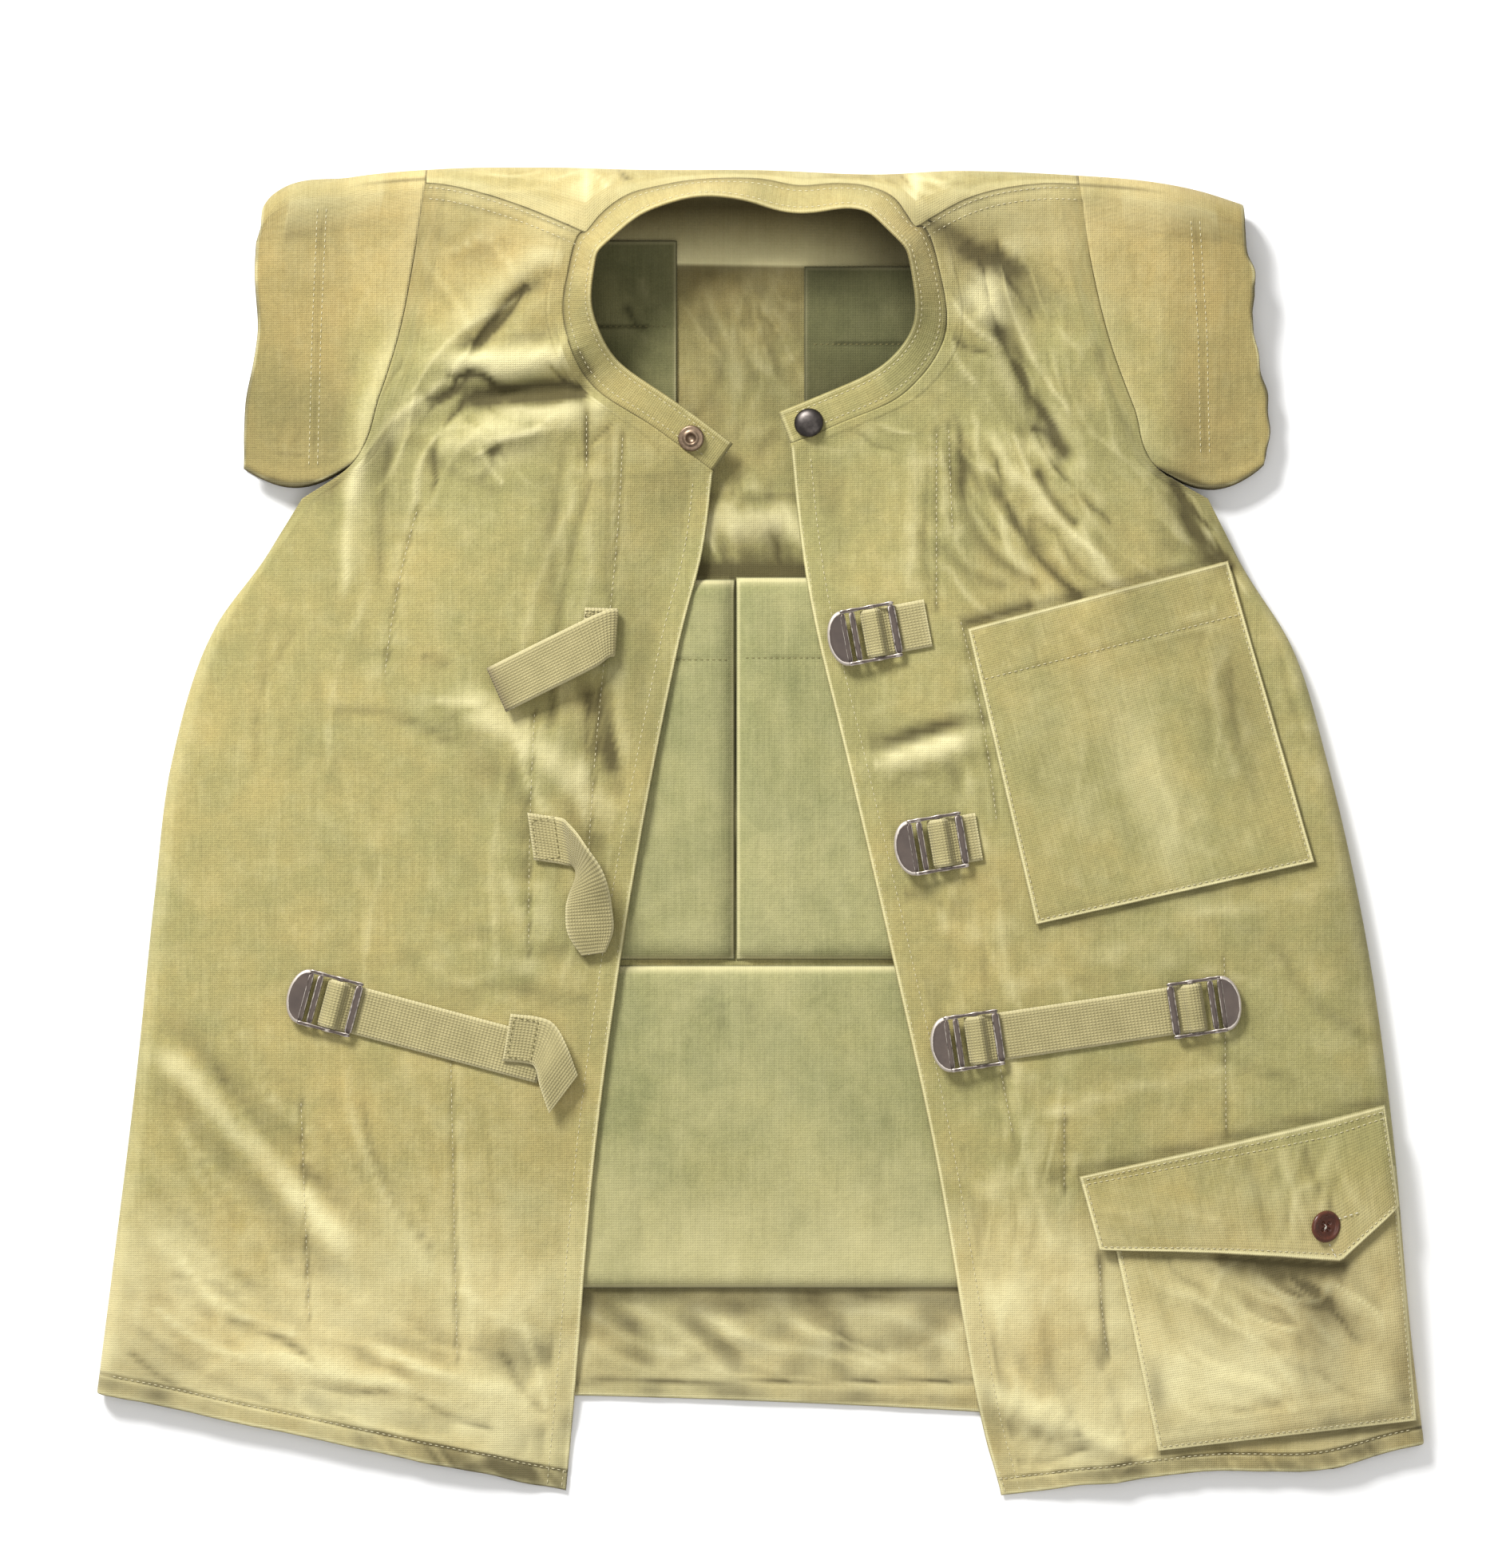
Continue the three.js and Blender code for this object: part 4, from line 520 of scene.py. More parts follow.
def wallPiece(name, outer, inner, uv, paint):
    # two grids of points as the faces of a wall; where its volume comes out below 0 the faces are turned
    # round
    points = np.concatenate([outer.reshape(-1, 3), inner.reshape(-1, 3)])
    faces = wallFaces(*outer.shape[:2])
    a, b, c, d = (points[faces[:, k]] for k in range(4))
    if np.einsum("ij,ij->i", a, np.cross(b, c) + np.cross(c, d)).sum() < 0:
        faces = faces[:, ::-1]
    paints = {key: np.tile(np.ravel(values), 2) for key, values in paint.items()}
    return makePiece(name, points, faces, np.tile(uv.reshape(-1, 2), (2, 1)), paints)


def makePiece(name, points, faces, uvs=None, paints=None):
    # a smooth shaded mesh of points in millimetres, with its cloth map and its painted values
    mesh = bpy.data.meshes.new(name)
    mesh.from_pydata((points * mm).tolist(), [], faces if isinstance(faces, list) else faces.tolist())
    mesh.polygons.foreach_set("use_smooth", np.ones(len(mesh.polygons), bool))
    if uvs is not None:
        corner = np.empty(len(mesh.loops), np.int32)
        mesh.loops.foreach_get("vertex_index", corner)
        mesh.uv_layers.new(name="cloth").data.foreach_set("uv", uvs[corner].ravel())
    for key, values in (paints or {}).items():
        mesh.attributes.new(key, "FLOAT", "POINT").data.foreach_set("value", np.asarray(values, np.float32))
    piece = bpy.data.objects.new(name, mesh)
    bpy.context.scene.collection.objects.link(piece)
    return piece


def clothPiece(name, grid, thick, up, rim, paint, uv):
    # a grid of points as the middle of cloth, half its thickness to each side along the normal; rim is 0 on a
    # folded edge, where the two faces close on a quarter circle
    normal = gridNormals(grid) * up
    close = np.clip(np.sqrt(1 - (1 - np.clip(rim, 0, 1)) ** 2), 0.06, 1)[..., None]
    outer = grid - normal * thick / 2 * (1 - close)
    under = grid - normal * thick / 2 * (1 + close)
    for face in (outer, under):  # nothing lies below the floor
        face[..., 2] = np.maximum(face[..., 2], 0)
    return wallPiece(name, outer, under, uv, paint)


def wearPaint(x, y, z, edge, khaki=0.0, outside=1.0):
    # how worn, soiled and yellowed the cloth is, with painted light and shade in the same values: worn on
    # edges and low down, painted highlight on crests; soiled at hems, painted shade in hollows
    def soften(a, times):
        for _ in range(times):  # each value becomes the mean of itself and its four neighbours
            a = (a + np.roll(a, 1, 0) + np.roll(a, -1, 0) + np.roll(a, 1, 1) + np.roll(a, -1, 1)) / 5
        return a

    # crest and broad are heights over the softened surface: paler on them is painted highlight, darker in their
    # hollows is painted shade
    crest = (z - soften(z, 9)) * np.minimum(1, edge / 9)
    crest[:12] = crest[-12:] = 0
    crest[:, :12] = crest[:, -12:] = 0
    low = smooth((-150 - y) / 120)
    caps = smooth((np.abs(x) - 196) / 20) * smooth((y - 165) / 15)
    top = smooth((y - 236) / 60) * (1 - caps)
    patch = cloudNoise(x, y, 46, 3)
    small = cloudNoise(x, y, 13, 5)
    corner = bell(np.abs(x) - 300, 40) * bell(y + 262, 50)
    broad = (z - soften(z, 60)) * np.minimum(1, edge / 20) * (np.abs(x) < 240)
    # the patches' paler parts are painted light; their darker parts, the tucks' creases and the dark line at the
    # very rim are painted shade
    wornAndLit = np.clip(crest * 0.8, 0, 0.6) + 0.9 * bell(edge - 1.0, 0.6) + np.clip(0.12 * broad, 0, 0.3)
    wornAndLit = wornAndLit + low * (0.55 + 0.28 * patch + 0.10 * small) + 0.10 * top + 0.06 * small * (1 - caps)
    wornAndLit = wornAndLit + outside * paintedLightAndShade(x, y, 1)
    hem = bell(edge - 5, 5) * smooth((-250 - y) / 30)
    soiledAndShaded = np.clip(-crest * 1.1, 0, 0.7) + 0.28 * caps * (1 + 0.5 * patch) + np.clip(-0.12 * broad, 0, 0.3)
    soiledAndShaded = soiledAndShaded + hem * (0.20 + 0.5 * np.clip(small + patch, 0, 1))
    soiledAndShaded = soiledAndShaded + 0.25 * corner * np.clip(patch + 0.4, 0, 1)
    soiledAndShaded = soiledAndShaded + outside * (paintedLightAndShade(x, y, 0) + tuckShade(x, y)) + 0.10 * top + 0.5 * bell(edge, 0.35)
    yellow = 0.16 + 0.55 * low + 0.45 * top + 0.35 * caps + 0.30 * cloudNoise(x, y, 85, 3)
    yellow = yellow + 0.6 * corner + khaki
    return {"wornAndLit": np.clip(wornAndLit, 0, 1), "soiledAndShaded": np.clip(soiledAndShaded, 0, 1), "yellow": np.clip(yellow, 0, 1)}


def frontPlan(side, share, section):
    # a section runs straight from the front edge to the side; near the shoulder it bends to follow the seam
    outerY = side.outerY(section)
    x = mix(side.innerX(section), side.outlineX(outerY), share)
    line = mix(side.innerY(section), outerY, share)
    near = smooth(section - lastSection + 1)
    y = mix(line, topY(x) - seamDrop(x) - garment["seamGap"], near)
    if side is left:  # the left hem hangs a little lower beside the pocket
        y = y - 7 * bell(x - 278, 34) * (1 - smooth(section))
    y = y + 0.9 * cloudNoise(x, 0 * x, 17, 2 + side.sign) * (1 - smooth(section * 3))
    return x, y


def frontSheet(name, side):
    # rows of the plan from the hem to the shoulder seam, laid at the upper face's height; past the side's
    # crest they go round a half circle to the floor where the side is folded, and straight to the seam
    # where it isn't
    inward = -side.sign
    s = np.concatenate([
        rimSteps / frontSection, np.arange(3.8, 12, 0.9) / frontSection,
        np.linspace(12.8 / frontSection, 2, 44),
        np.linspace(2, 7, 100)[1:], np.linspace(7, 11.95, 74)[1:], [11.975, 12.0]])[:, None]
    endX, endY = frontPlan(side, 1.0, s)
    startX, _ = frontPlan(side, 0.0, s)
    width = np.abs(endX - startX)
    wrap = side.wrap(endY)
    radius = lay(endX, endY) / 2
    share = np.concatenate([rimSteps / frontWidth, np.linspace(4 / frontWidth, 1, 114)])[None, :]
    x, y = frontPlan(side, share * (1 - radius / width), s)
    z = upperZ(x, y)
    t = np.linspace(0, 1, 27)[None, 1:]
    angle = np.pi * (0.5 - t)
    foot = garment["seamGap"] * (1 - wrap)
    shift = mix(radius * (1 - t) + foot * t, radius * (1 - np.cos(angle)), wrap)
    _, py = frontPlan(side, 1 - shift / width, s)
    px = endX + inward * shift
    crest = upperZ(np.broadcast_to(endX + inward * radius, px.shape), py)
    openZ = upperZ(px, py)
    upperHalf = mix(openZ, radius + (crest - radius) * np.sin(angle), wrap)
    lowerHalf = mix(openZ, radius * (1 + np.sin(angle)), wrap)
    pz = np.where(t < 0.5, upperHalf, lowerHalf)
    grid = np.stack([np.hstack([x, px]), np.hstack([y, py]), np.hstack([z, pz])], axis=-1)
    gx, gy, gz = np.moveaxis(grid, -1, 0)
    fromFront = np.hstack([share * width + 0 * x, width + 0 * px])
    fromHem = np.repeat(s * frontSection, grid.shape[1], axis=1)
    fromSide = np.hstack([farOff + 0 * x, mix(shift, farOff, wrap)])
    edge = np.minimum(np.minimum(fromFront, fromHem), fromSide)
    # double cloth along the front edge and the hem, with the stitching drawn in
    fold = np.minimum(fromFront, fromHem)
    gz += 0.35 * (1 - smooth((fold - 9) / 3)) - 0.35 * bell(fold - 9.5, 0.9)
    roping = cloudNoise(0.8 * gx + 0.6 * gy, 0.3 * gy, 6, side.sign)
    atHem = bell(fromHem - 5, 6)
    gz += roping * (0.3 * np.exp(-fold / 7) + 0.55 * atHem) - 0.5 * bell(fromHem - 9.6, 1.0)
    # a seam has no pale folded edge; the hem's band is roped and soiled, with painted shade in its stitch
    # groove; painted shade lies in lines along the shoulder seam and its stitching
    sewnNeck, sewnSide = 8 * smooth((s - 6.95) / 0.1), np.hstack([0 * x, 8 * (1 - wrap) + 0 * px])
    folded = np.minimum(np.minimum(fromFront + sewnNeck, fromHem), fromSide + sewnSide)
    paint = wearPaint(gx, gy, gz, folded)
    band = smooth((10 - fromHem) / 1.5)
    alongHem = smooth((gx + 235) / 90) if side is right else 0.25 + 0.5 * smooth((gx - 190) / 60)
    ropes = cloudNoise(gx + 0.7 * gy, 0 * gx, 3.4, 3)
    hemSoilAndShade = band * alongHem * (0.42 + 0.40 * ropes) + 0.75 * alongHem * bell(fromHem - 9.6, 0.9)
    seamAt = topY(gx) - seamDrop(gx) - gy
    seamShade = 0.75 * bell(seamAt, 1.0) + 0.4 * bell(seamAt - 2.6, 0.8) + 0.3 * bell(seamAt - 8, 0.8)
    paint["soiledAndShaded"] = np.clip(paint["soiledAndShaded"] + np.clip(hemSoilAndShade, 0, 1) + seamShade * (gy > 260), 0, 1)
    unrolled = np.hstack([x, endX + inward * radius + side.sign * np.pi * radius * t])
    uv = np.stack([unrolled, gy], axis=-1)
    return clothPiece(name, grid, garment["bodyCloth"], side.sign, edge / garment["rimRound"], paint, uv)


def shoulderPoint(x, turn, drop):
    # round the shoulder: turn -1 on the floor, 0 on the outline, 1 at the seam on the upper side
    top = topY(x)
    radius = lay(x, top) / 2
    angle = turn * np.pi / 2
    arc = np.minimum(drop, radius)
    arcAngle = np.arccos(1 - arc / radius)
    arcShare = arcAngle * radius / (arcAngle * radius + drop - arc)
    rolled = radius * (1 - np.cos(arcAngle * np.clip(turn / arcShare, 0, 1)))
    rest = (drop - arc) * np.clip((turn - arcShare) / np.maximum(1 - arcShare, 1e-6), 0, 1)
    inFromTop = rolled + rest
    y = np.where(turn <= 0, top - radius * (1 - np.cos(angle)), top - inFromTop)
    z = np.where(turn <= 0, radius * (1 + np.sin(angle)), upperZ(x + 0 * y, top - inFromTop))
    return x + 0 * y, y, z


neckRight, neckLeft = -87.0, 77.0
backRight, backLeft = float(right.outlineX(shoulderY)), float(left.outlineX(shoulderY))


def innerLift(x, y):
    # inside of the back: crumpled under the lower pocket, gathered over the upper ones, a facing at the neck
    low = smooth((-226 - y) / 10)
    folds = 0
    for x0, y0, x1, y1, bend, wide, deep in innerCreases:
        across, _, past, _ = alongLine(x, y, x0, y0, x1, y1, bend)
        folds = folds + 0.3 * deep * np.exp(-(np.abs(across) / (1.3 * wide)) ** 1.3) * bell(past, 1.5 * wide)
    gather = 2.4 * bell(y - 153 - 6 * cloudNoise(x, 0 * x, 15, 2), 12) * smooth((66 - np.abs(x + 10)) / 24)
    hemFold = 0.6 * (1 - smooth((np.abs(y + 281) - 4.2) / 1.2))
    facing = 0.9 * smooth((y - 284) / 2) * (1 - smooth((y - 303) / 2))
    return np.maximum(0, folds + gather + hemFold + facing + (0.7 + 0.6 * low) * (0.5 + rumple(x, y, 4.0)))


# crinkled places inside the back, as in crinkles
innerCrinkles = [
    (0, -256, 120, 14, -24, 17, 1.2), (-12, 200, 34, 56, 70, 14, 1.6), (-10, 148, 40, 14, 84, 9, 2.0),
    (-5, 250, 30, 26, -64, 12, 1.0),
]
# creases inside the back: x0, y0, x1, y1, bend, wide, deep
innerCreases = [
    (-88, -238, -40, -262, 5, 3.5, 2.2), (-70, -236, -20, -270, -4, 3, 1.7),
    (-30, -240, 30, -262, 6, 4, 2.0), (10, -238, 60, -268, 4, 3, 1.6), (40, -240, 96, -258, -5, 3.5, 2.0),
    (-84, -258, -52, -272, 2, 3, 1.4), (66, -262, 100, -250, 3, 3, 1.4), (-16, -252, 8, -270, 3, 2.6, 1.2),
    (-13, 134, -14, 152, 0, 2.5, 2.2), (-24, 140, -34, 160, 3, 3, 1.6), (2, 140, 12, 164, -3, 3, 1.5),
    (-8, 250, 4, 232, 4, 2.6, 1.2), (6, 262, 14, 240, -3, 3, 0.9), (-30, 200, -18, 172, 5, 6, 1.2),
    (10, 190, -6, 160, 5, 6, 1.4), (-32, 250, -24, 216, 2, 5, -0.8),
]


def backSheet(name):
    # flat on the floor between its side seams, then round the shoulder to its seam on the upper side; its
    # inner face is a cloth's thickness off, with the folds that show inside
    s = np.concatenate([
        rimSteps / backSection, np.linspace(4 / backSection, 1.9, 40), np.linspace(1.9, 7.2, 36)[1:],
        np.linspace(7.2, 11, 80)[1:]])[:, None]
    shareAt = lambda x: (x - backRight) / (backLeft - backRight)
    u = np.concatenate([
        np.linspace(0, shareAt(neckRight), 48)[:-1],
        np.linspace(shareAt(neckRight), shareAt(neckLeft), 82)[:-1],
        np.linspace(shareAt(neckLeft), 1, 48),
    ])[None, :]

    def seamX(side):
        y = side.outerY(s)
        x = side.outlineX(y)
        return x - side.sign * (side.wrap(y) * lay(x, y) / 2 + garment["seamGap"])

    x = mix(seamX(right), seamX(left), u)
    y = mix(right.outerY(s), left.outerY(s), u) + garment["hemRise"] * np.sin(np.pi * u) * (1 - smooth(s))
    floor = np.stack([x, y, 0 * x], axis=-1)
    turn = np.concatenate([np.linspace(-1, 0, 16), np.linspace(0, 1, 34)[1:]])[:, None]
    sx = mix(backRight + garment["seamGap"], backLeft - garment["seamGap"], u)
    shoulder = np.stack(shoulderPoint(sx, turn, seamDrop(sx)), axis=-1)
    grid = np.concatenate([floor, shoulder])
    inner = grid + gridNormals(grid) * garment["bodyCloth"]
    rows = len(floor)
    belowRoll = smooth((300 - y) / 12)
    upFromHem = np.repeat(s * backSection, u.shape[1], axis=1)
    low = np.minimum(1, upFromHem / garment["rimRound"])
    crinkled = np.maximum(0, crinkleLift(x, y, innerCrinkles) + 0.3)
    inner[:rows, :, 2] = garment["bodyCloth"] + (innerLift(x, y) + crinkled) * belowRoll
    inner[:rows, :, 2] -= (1 - np.sqrt(1 - (1 - low) ** 2)) * 1.2
    fromHem = np.concatenate([upFromHem, np.full(shoulder.shape[:2], farOff)])
    outside = np.concatenate([np.zeros(floor.shape[:2]), np.ones(shoulder.shape[:2])])
    heights = np.concatenate([inner[:rows, :, 2], grid[rows:, :, 2]])
    paint = wearPaint(grid[..., 0], grid[..., 1], heights, fromHem, outside=outside)
    # painted shade: the inside is darker up at the neck (partly dirt), in the pockets' mouths, in the gaps
    # between them, in the gathers over the upper pockets, just under the lower pocket and at the hem's fold;
    # painted light makes the facing band at the neck paler
    overFilled = smooth((120 - np.abs(x + 10)) / 20)
    gapShade = bell(y + 65.5, 3) + 1.5 * bell(y - 129.6, 1.8) + 1.25 * bell(y - 131.5, 4.5) * overFilled
    gapShade = gapShade + bell(x + 12.6, 1.5) * (np.abs(y - 30) < 95)
    facing = smooth((y - 284) / 2) * (1 - smooth((y - 300) / 3))
    depth = smooth((y - 120) / 150) * (0.52 + 0.25 * cloudNoise(x, y, 26, 6)) + 0.5 * smooth((y - 301) / 4)
    blotches = 0.20 + 0.30 * np.clip(cloudNoise(x, 1.6 * y, 15, 2), -0.3, 1)
    lowDown = smooth((-228 - y) / 8) * blotches * (y > -276)
    gathers = np.clip(0.6 + 0.9 * cloudNoise(1.3 * x, 0.4 * y, 11, 5), 0, 1.3)
    aboveFilled = 0.55 * bell(y - 148, 12) * gathers * overFilled
    inside = depth - 1.1 * facing + 0.9 * gapShade + 0.06 + lowDown + aboveFilled
    inside = inside + 0.55 * bell(y + 276, 1.2) + 0.6 * bell(y + 231, 7)
    paint["soiledAndShaded"][:rows] = np.clip(paint["soiledAndShaded"][:rows] + inside, 0, 1)
    paint["wornAndLit"][:rows] = np.clip(paint["wornAndLit"][:rows] + 0.9 * facing, 0, 1)
    v = np.concatenate([y, 335 + np.repeat(turn, u.shape[1], axis=1) * 30])
    uv = np.stack([grid[..., 0], v], axis=-1)
    return wallPiece(name, grid, inner, uv, paint)


sleeveColumns = ("section", "edgeX", "edgeY", "sag")
sleeves = {
    "right_sleeve": {
        "side": right,
        "rows": [(8, -260, 182, -10), (9, -258.5, 213, -4), (10, -252.5, 250, 0), (11, -253.5, 281, 0),
                 (11.5, -252.5, 295, 0)],
        "inner": -167, "edge": -250,
    },
    "left_sleeve": {
        "side": left,
        "rows": [(8, 255, 184, -11), (9, 256.5, 210, -4), (10, 250.2, 245, 0), (11, 247.5, 280, 0),
                 (11.5, 245.5, 293, 0)],
        "inner": 159, "edge": 242,
    },
}


def sleeveSheet(name, spec):
    # the front leaf on the upper face, round the shoulder, and back along the floor, from the seam to the
    # outer edge
    side = spec["side"]
    edgeX, edgeY, sag = (
        smoothCurve(sleeveColumns, spec["rows"], "section", column) for column in ("edgeX", "edgeY", "sag"))
    gap = garment["seamGap"]
    u = np.concatenate([np.linspace(0, 0.965, 46), [0.975, 0.985, 0.992, 0.997, 1]])[None, :]

    def leaf(s):
        innerY = side.outerY(s)
        size, much = (10, 2.4) if side is left else (16, 0.7)  # the outer edge is uneven
        wave = much * (1 + cloudNoise(edgeY(s), 0 * s, size, side.sign)) * u ** 8
        x = mix(side.outlineX(innerY) + side.sign * gap, edgeX(s), u) - wave * side.sign
        y = mix(innerY, edgeY(s), u) + sag(s) * np.sin(np.pi * u)
        return x, y

    def roll(turn):
        inner = np.full_like(turn, spec["inner"], float)
        _, seamY, _ = shoulderPoint(inner, turn, lay(inner, topY(inner)) / 2)
        x = mix(side.outlineX(seamY) + side.sign * gap, spec["edge"], u)
        return np.stack(shoulderPoint(x, turn, lay(x, topY(x)) / 2), axis=-1)

    s = np.concatenate([8 + rimSteps / sleeveSection, np.linspace(8.14, 11.5, 60)])[:, None]
    x, y = leaf(s)
    front = np.stack([x, y, upperZ(x, y)], axis=-1)
    bottom = np.stack([x, y, 0 * x], axis=-1)
    over = roll(np.linspace(1, -1, 41)[1:-1, None])
    grid = np.concatenate([front, over, bottom[::-1]])
    gx, gy, gz = np.moveaxis(grid, -1, 0)
    fromEdge = (1 - u) * 88 + 0 * gx
    upLeaf = (s - 8) * sleeveSection + 0 * x
    fromFoot = np.concatenate([upLeaf, farOff + 0 * over[..., 0], upLeaf[::-1]])
    edge = np.minimum(fromEdge, fromFoot)
    gz[:len(front)] -= 0.35 * bell(edge[:len(front)] - 8, 0.9)
    paint = wearPaint(gx, gy, gz, edge, 0.2)
    rolled = bell(fromFoot - 0.8, 1.8) * (0.7 + 0.6 * cloudNoise(gx, 0 * edge, 6, 3))
    frayed = 1.5 if side is left else 0.7
    fringe = frayed * bell(fromEdge - 0.7, 1.5) * (0.40 + 0.7 * cloudNoise(gy, 0 * edge, 9, 4))
    # painted shade in a line along the shoulder seam, carried onto the cap
    seamShadeOnward = 0.6 * bell(topY(gx) - 5.5 - gy, 0.9) * smooth((210 - np.abs(gx)) / 30)
    paint["soiledAndShaded"] = np.clip(paint["soiledAndShaded"] + np.maximum(rolled, fringe) + seamShadeOnward, 0, 1)
    rollV = 335 + 0 * over[..., 0] + np.linspace(0, 40, len(over))[:, None]
    uv = np.stack([gx, np.concatenate([y, rollV, 800 - y[::-1]])], axis=-1)
    return clothPiece(name, grid, garment["bodyCloth"], side.sign, edge / garment["rimRound"], paint, uv)


# how steeply the collar stands, in degrees, at shares of its length from its right end
leanColumns = ("at", "lean")
collarLean = [
    (0, 6), (0.16, 10), (0.27, 44), (0.36, 42), (0.45, 58), (0.5, 44), (0.54, 26), (0.6, 42), (0.66, 38),
    (0.76, 34), (0.86, 10), (1, 6),
]
leanAt = smoothCurve(leanColumns, collarLean, "at", "lean")
neckCentre = (-5.0, 262.0)


def neckSeam():
    # up one front's neckline, along the back's seam over the shoulders, and down the other front's
    def neckline(side):
        x, y = frontPlan(side, 0.0, np.linspace(7, lastSection, 90))
        return np.stack([x, y, upperZ(x, y)], axis=-1)

    x = np.linspace(neckRight, neckLeft, 150)[1:-1]
    back = np.stack(shoulderPoint(x, np.ones_like(x), seamDrop(x)), axis=-1)
    seam = np.concatenate([neckline(right), back, neckline(left)[::-1]])
    for _ in range(3):  # the band rounds the seam's corners a little
        seam[1:-1] = (seam[:-2] + 2 * seam[1:-1] + seam[2:]) / 4
    return seam


def collarGrid(seam, shares):
    # the band rises from the neck seam towards the neck, at a lean that changes along it
    along = np.concatenate([[0], np.cumsum(np.linalg.norm(np.diff(seam, axis=0), axis=1))])
    at = along / along[-1]
    tangent = np.gradient(seam, axis=0)
    normal = np.stack([-tangent[:, 1], tangent[:, 0]], axis=-1)
    normal /= np.maximum(np.linalg.norm(normal, axis=1, keepdims=True), 1e-9)
    towards = (neckCentre[0] - seam[:, 0]) * normal[:, 0] + (neckCentre[1] - seam[:, 1]) * normal[:, 1]
    normal *= np.sign(towards)[:, None]
    lean = np.radians(leanAt(at))[None, :]
    reach = garment["seamGap"] + (garment["collarWidth"] - garment["seamGap"]) * shares[:, None]
    x = seam[None, :, 0] + normal[None, :, 0] * np.cos(lean) * reach
    y = seam[None, :, 1] + normal[None, :, 1] * np.cos(lean) * reach
    up = shares[:, None]
    wave = 0.5 * cloudNoise(along[None, :], 9 * up, 7) + 0.5 * cloudNoise(along[None, :], 0 * up, 24)
    rows = -0.3 * (bell(up - 0.2, 0.05) + bell(up - 0.8, 0.05))
    z = seam[None, :, 2] + np.sin(lean) * reach + wave * up + rows
    grid = np.stack([x, y, z], axis=-1)
    for _ in range(70):  # its turns ease out towards the free edge, so that it doesn't fold over itself
        eased = (grid[:, :-2] + 2 * grid[:, 1:-1] + grid[:, 2:]) / 4
        grid[:, 1:-1] = mix(grid[:, 1:-1], eased, np.clip(1.6 * shares, 0, 1)[:, None, None])
    return grid, along


def collarSheet(name):
    # the collar's grid, its free edge and ends folded, with a darker line at the seam
    shares = np.concatenate([[0, 0.01, 0.03], np.linspace(0.06, 0.92, 16), [0.95, 0.975, 0.99, 1.0]])
    grid, along = collarGrid(neckSeam(), shares)
    fromSeam = shares[:, None] * garment["collarWidth"]
    fromTop = garment["collarWidth"] - fromSeam
    edge = np.minimum(fromTop, np.minimum(along, along[-1] - along)[None, :] + 0.1)
    paint = wearPaint(*np.moveaxis(grid, -1, 0), edge)
    paint["wornAndLit"] = np.clip(paint["wornAndLit"] - 0.5 * bell(fromTop - 1.0, 0.8), 0, 1)
    paint["soiledAndShaded"] = np.clip(paint["soiledAndShaded"] + 0.35 * bell(fromSeam, 1.0), 0, 1)
    uv = np.stack([along[None, :] + 0 * edge, fromSeam + 0 * edge], axis=-1)
    return clothPiece(name, grid, garment["collarCloth"], -1, edge / 1.1, paint, uv)


# inner pockets: their edges, how thick they lie, how round their rims are, and their rows of stitches
innerPockets = {
    "inner_pocket_upper_right": {"x0": -152, "x1": -13.0, "y0": -64, "y1": 127, "thick": 5.6, "round": 10,
                                 "rows": [86.5]},
    "inner_pocket_upper_left": {"x0": -12.2, "x1": 132, "y0": -64, "y1": 128, "thick": 5.8, "round": 10,
                                "rows": [87.5]},
    "inner_pocket_lower": {"x0": -152, "x1": 140, "y0": -229, "y1": -67, "thick": 4.8, "round": 8, "rows": []},
    "inner_pocket_shoulder_right": {"x0": -150, "x1": -42, "y0": 136, "y1": 297, "thick": 1.6, "rows": [254]},
    "inner_pocket_shoulder_left": {"x0": 22, "x1": 134, "y0": 136, "y1": 284, "thick": 1.6, "rows": [245]},
}
# puckers on the inner pockets: x0, y0, x1, y1, bend, wide, deep
pocketCreases = [
    (-15, -70, -19, -96, 2, 4, -0.5), (-10, -70, -5, -90, -2, 4, -0.45), (-12, -72, -13, -112, 0, 4, 0.3),
    (6, -72, 20, -92, 3, 5, 0.3), (-28, -72, -40, -88, -3, 5, 0.25), (-22, -52, -18, -62, 0, 3, -1.2),
    (-6, -52, 4, -60, 1, 3, -1.4), (4, -50, 22, -56, 3, 3, -0.9), (-60, -54, -30, -50, 2, 4, 0.7),
    (40, -30, 62, -52, 5, 6, 0.6), (14, 110, 16, -40, 3, 5, 0.35), (-34, 70, -30, -30, 3, 6, 0.35),
    (40, 84, 44, -20, -3, 6, 0.3), (-40, -130, -36, -210, 2, 7, 0.5), (30, -130, 26, -214, 3, 7, 0.5),
    (62, -150, 58, -216, 2, 6, -0.4), (-62, -150, -60, -216, 2, 6, -0.4), (-66, 262, -50, 248, 3, 2.6, -0.9),
    (-60, 282, -48, 262, 4, 3, 0.9), (-58, 250, -46, 240, 2, 2.4, 0.6),
]


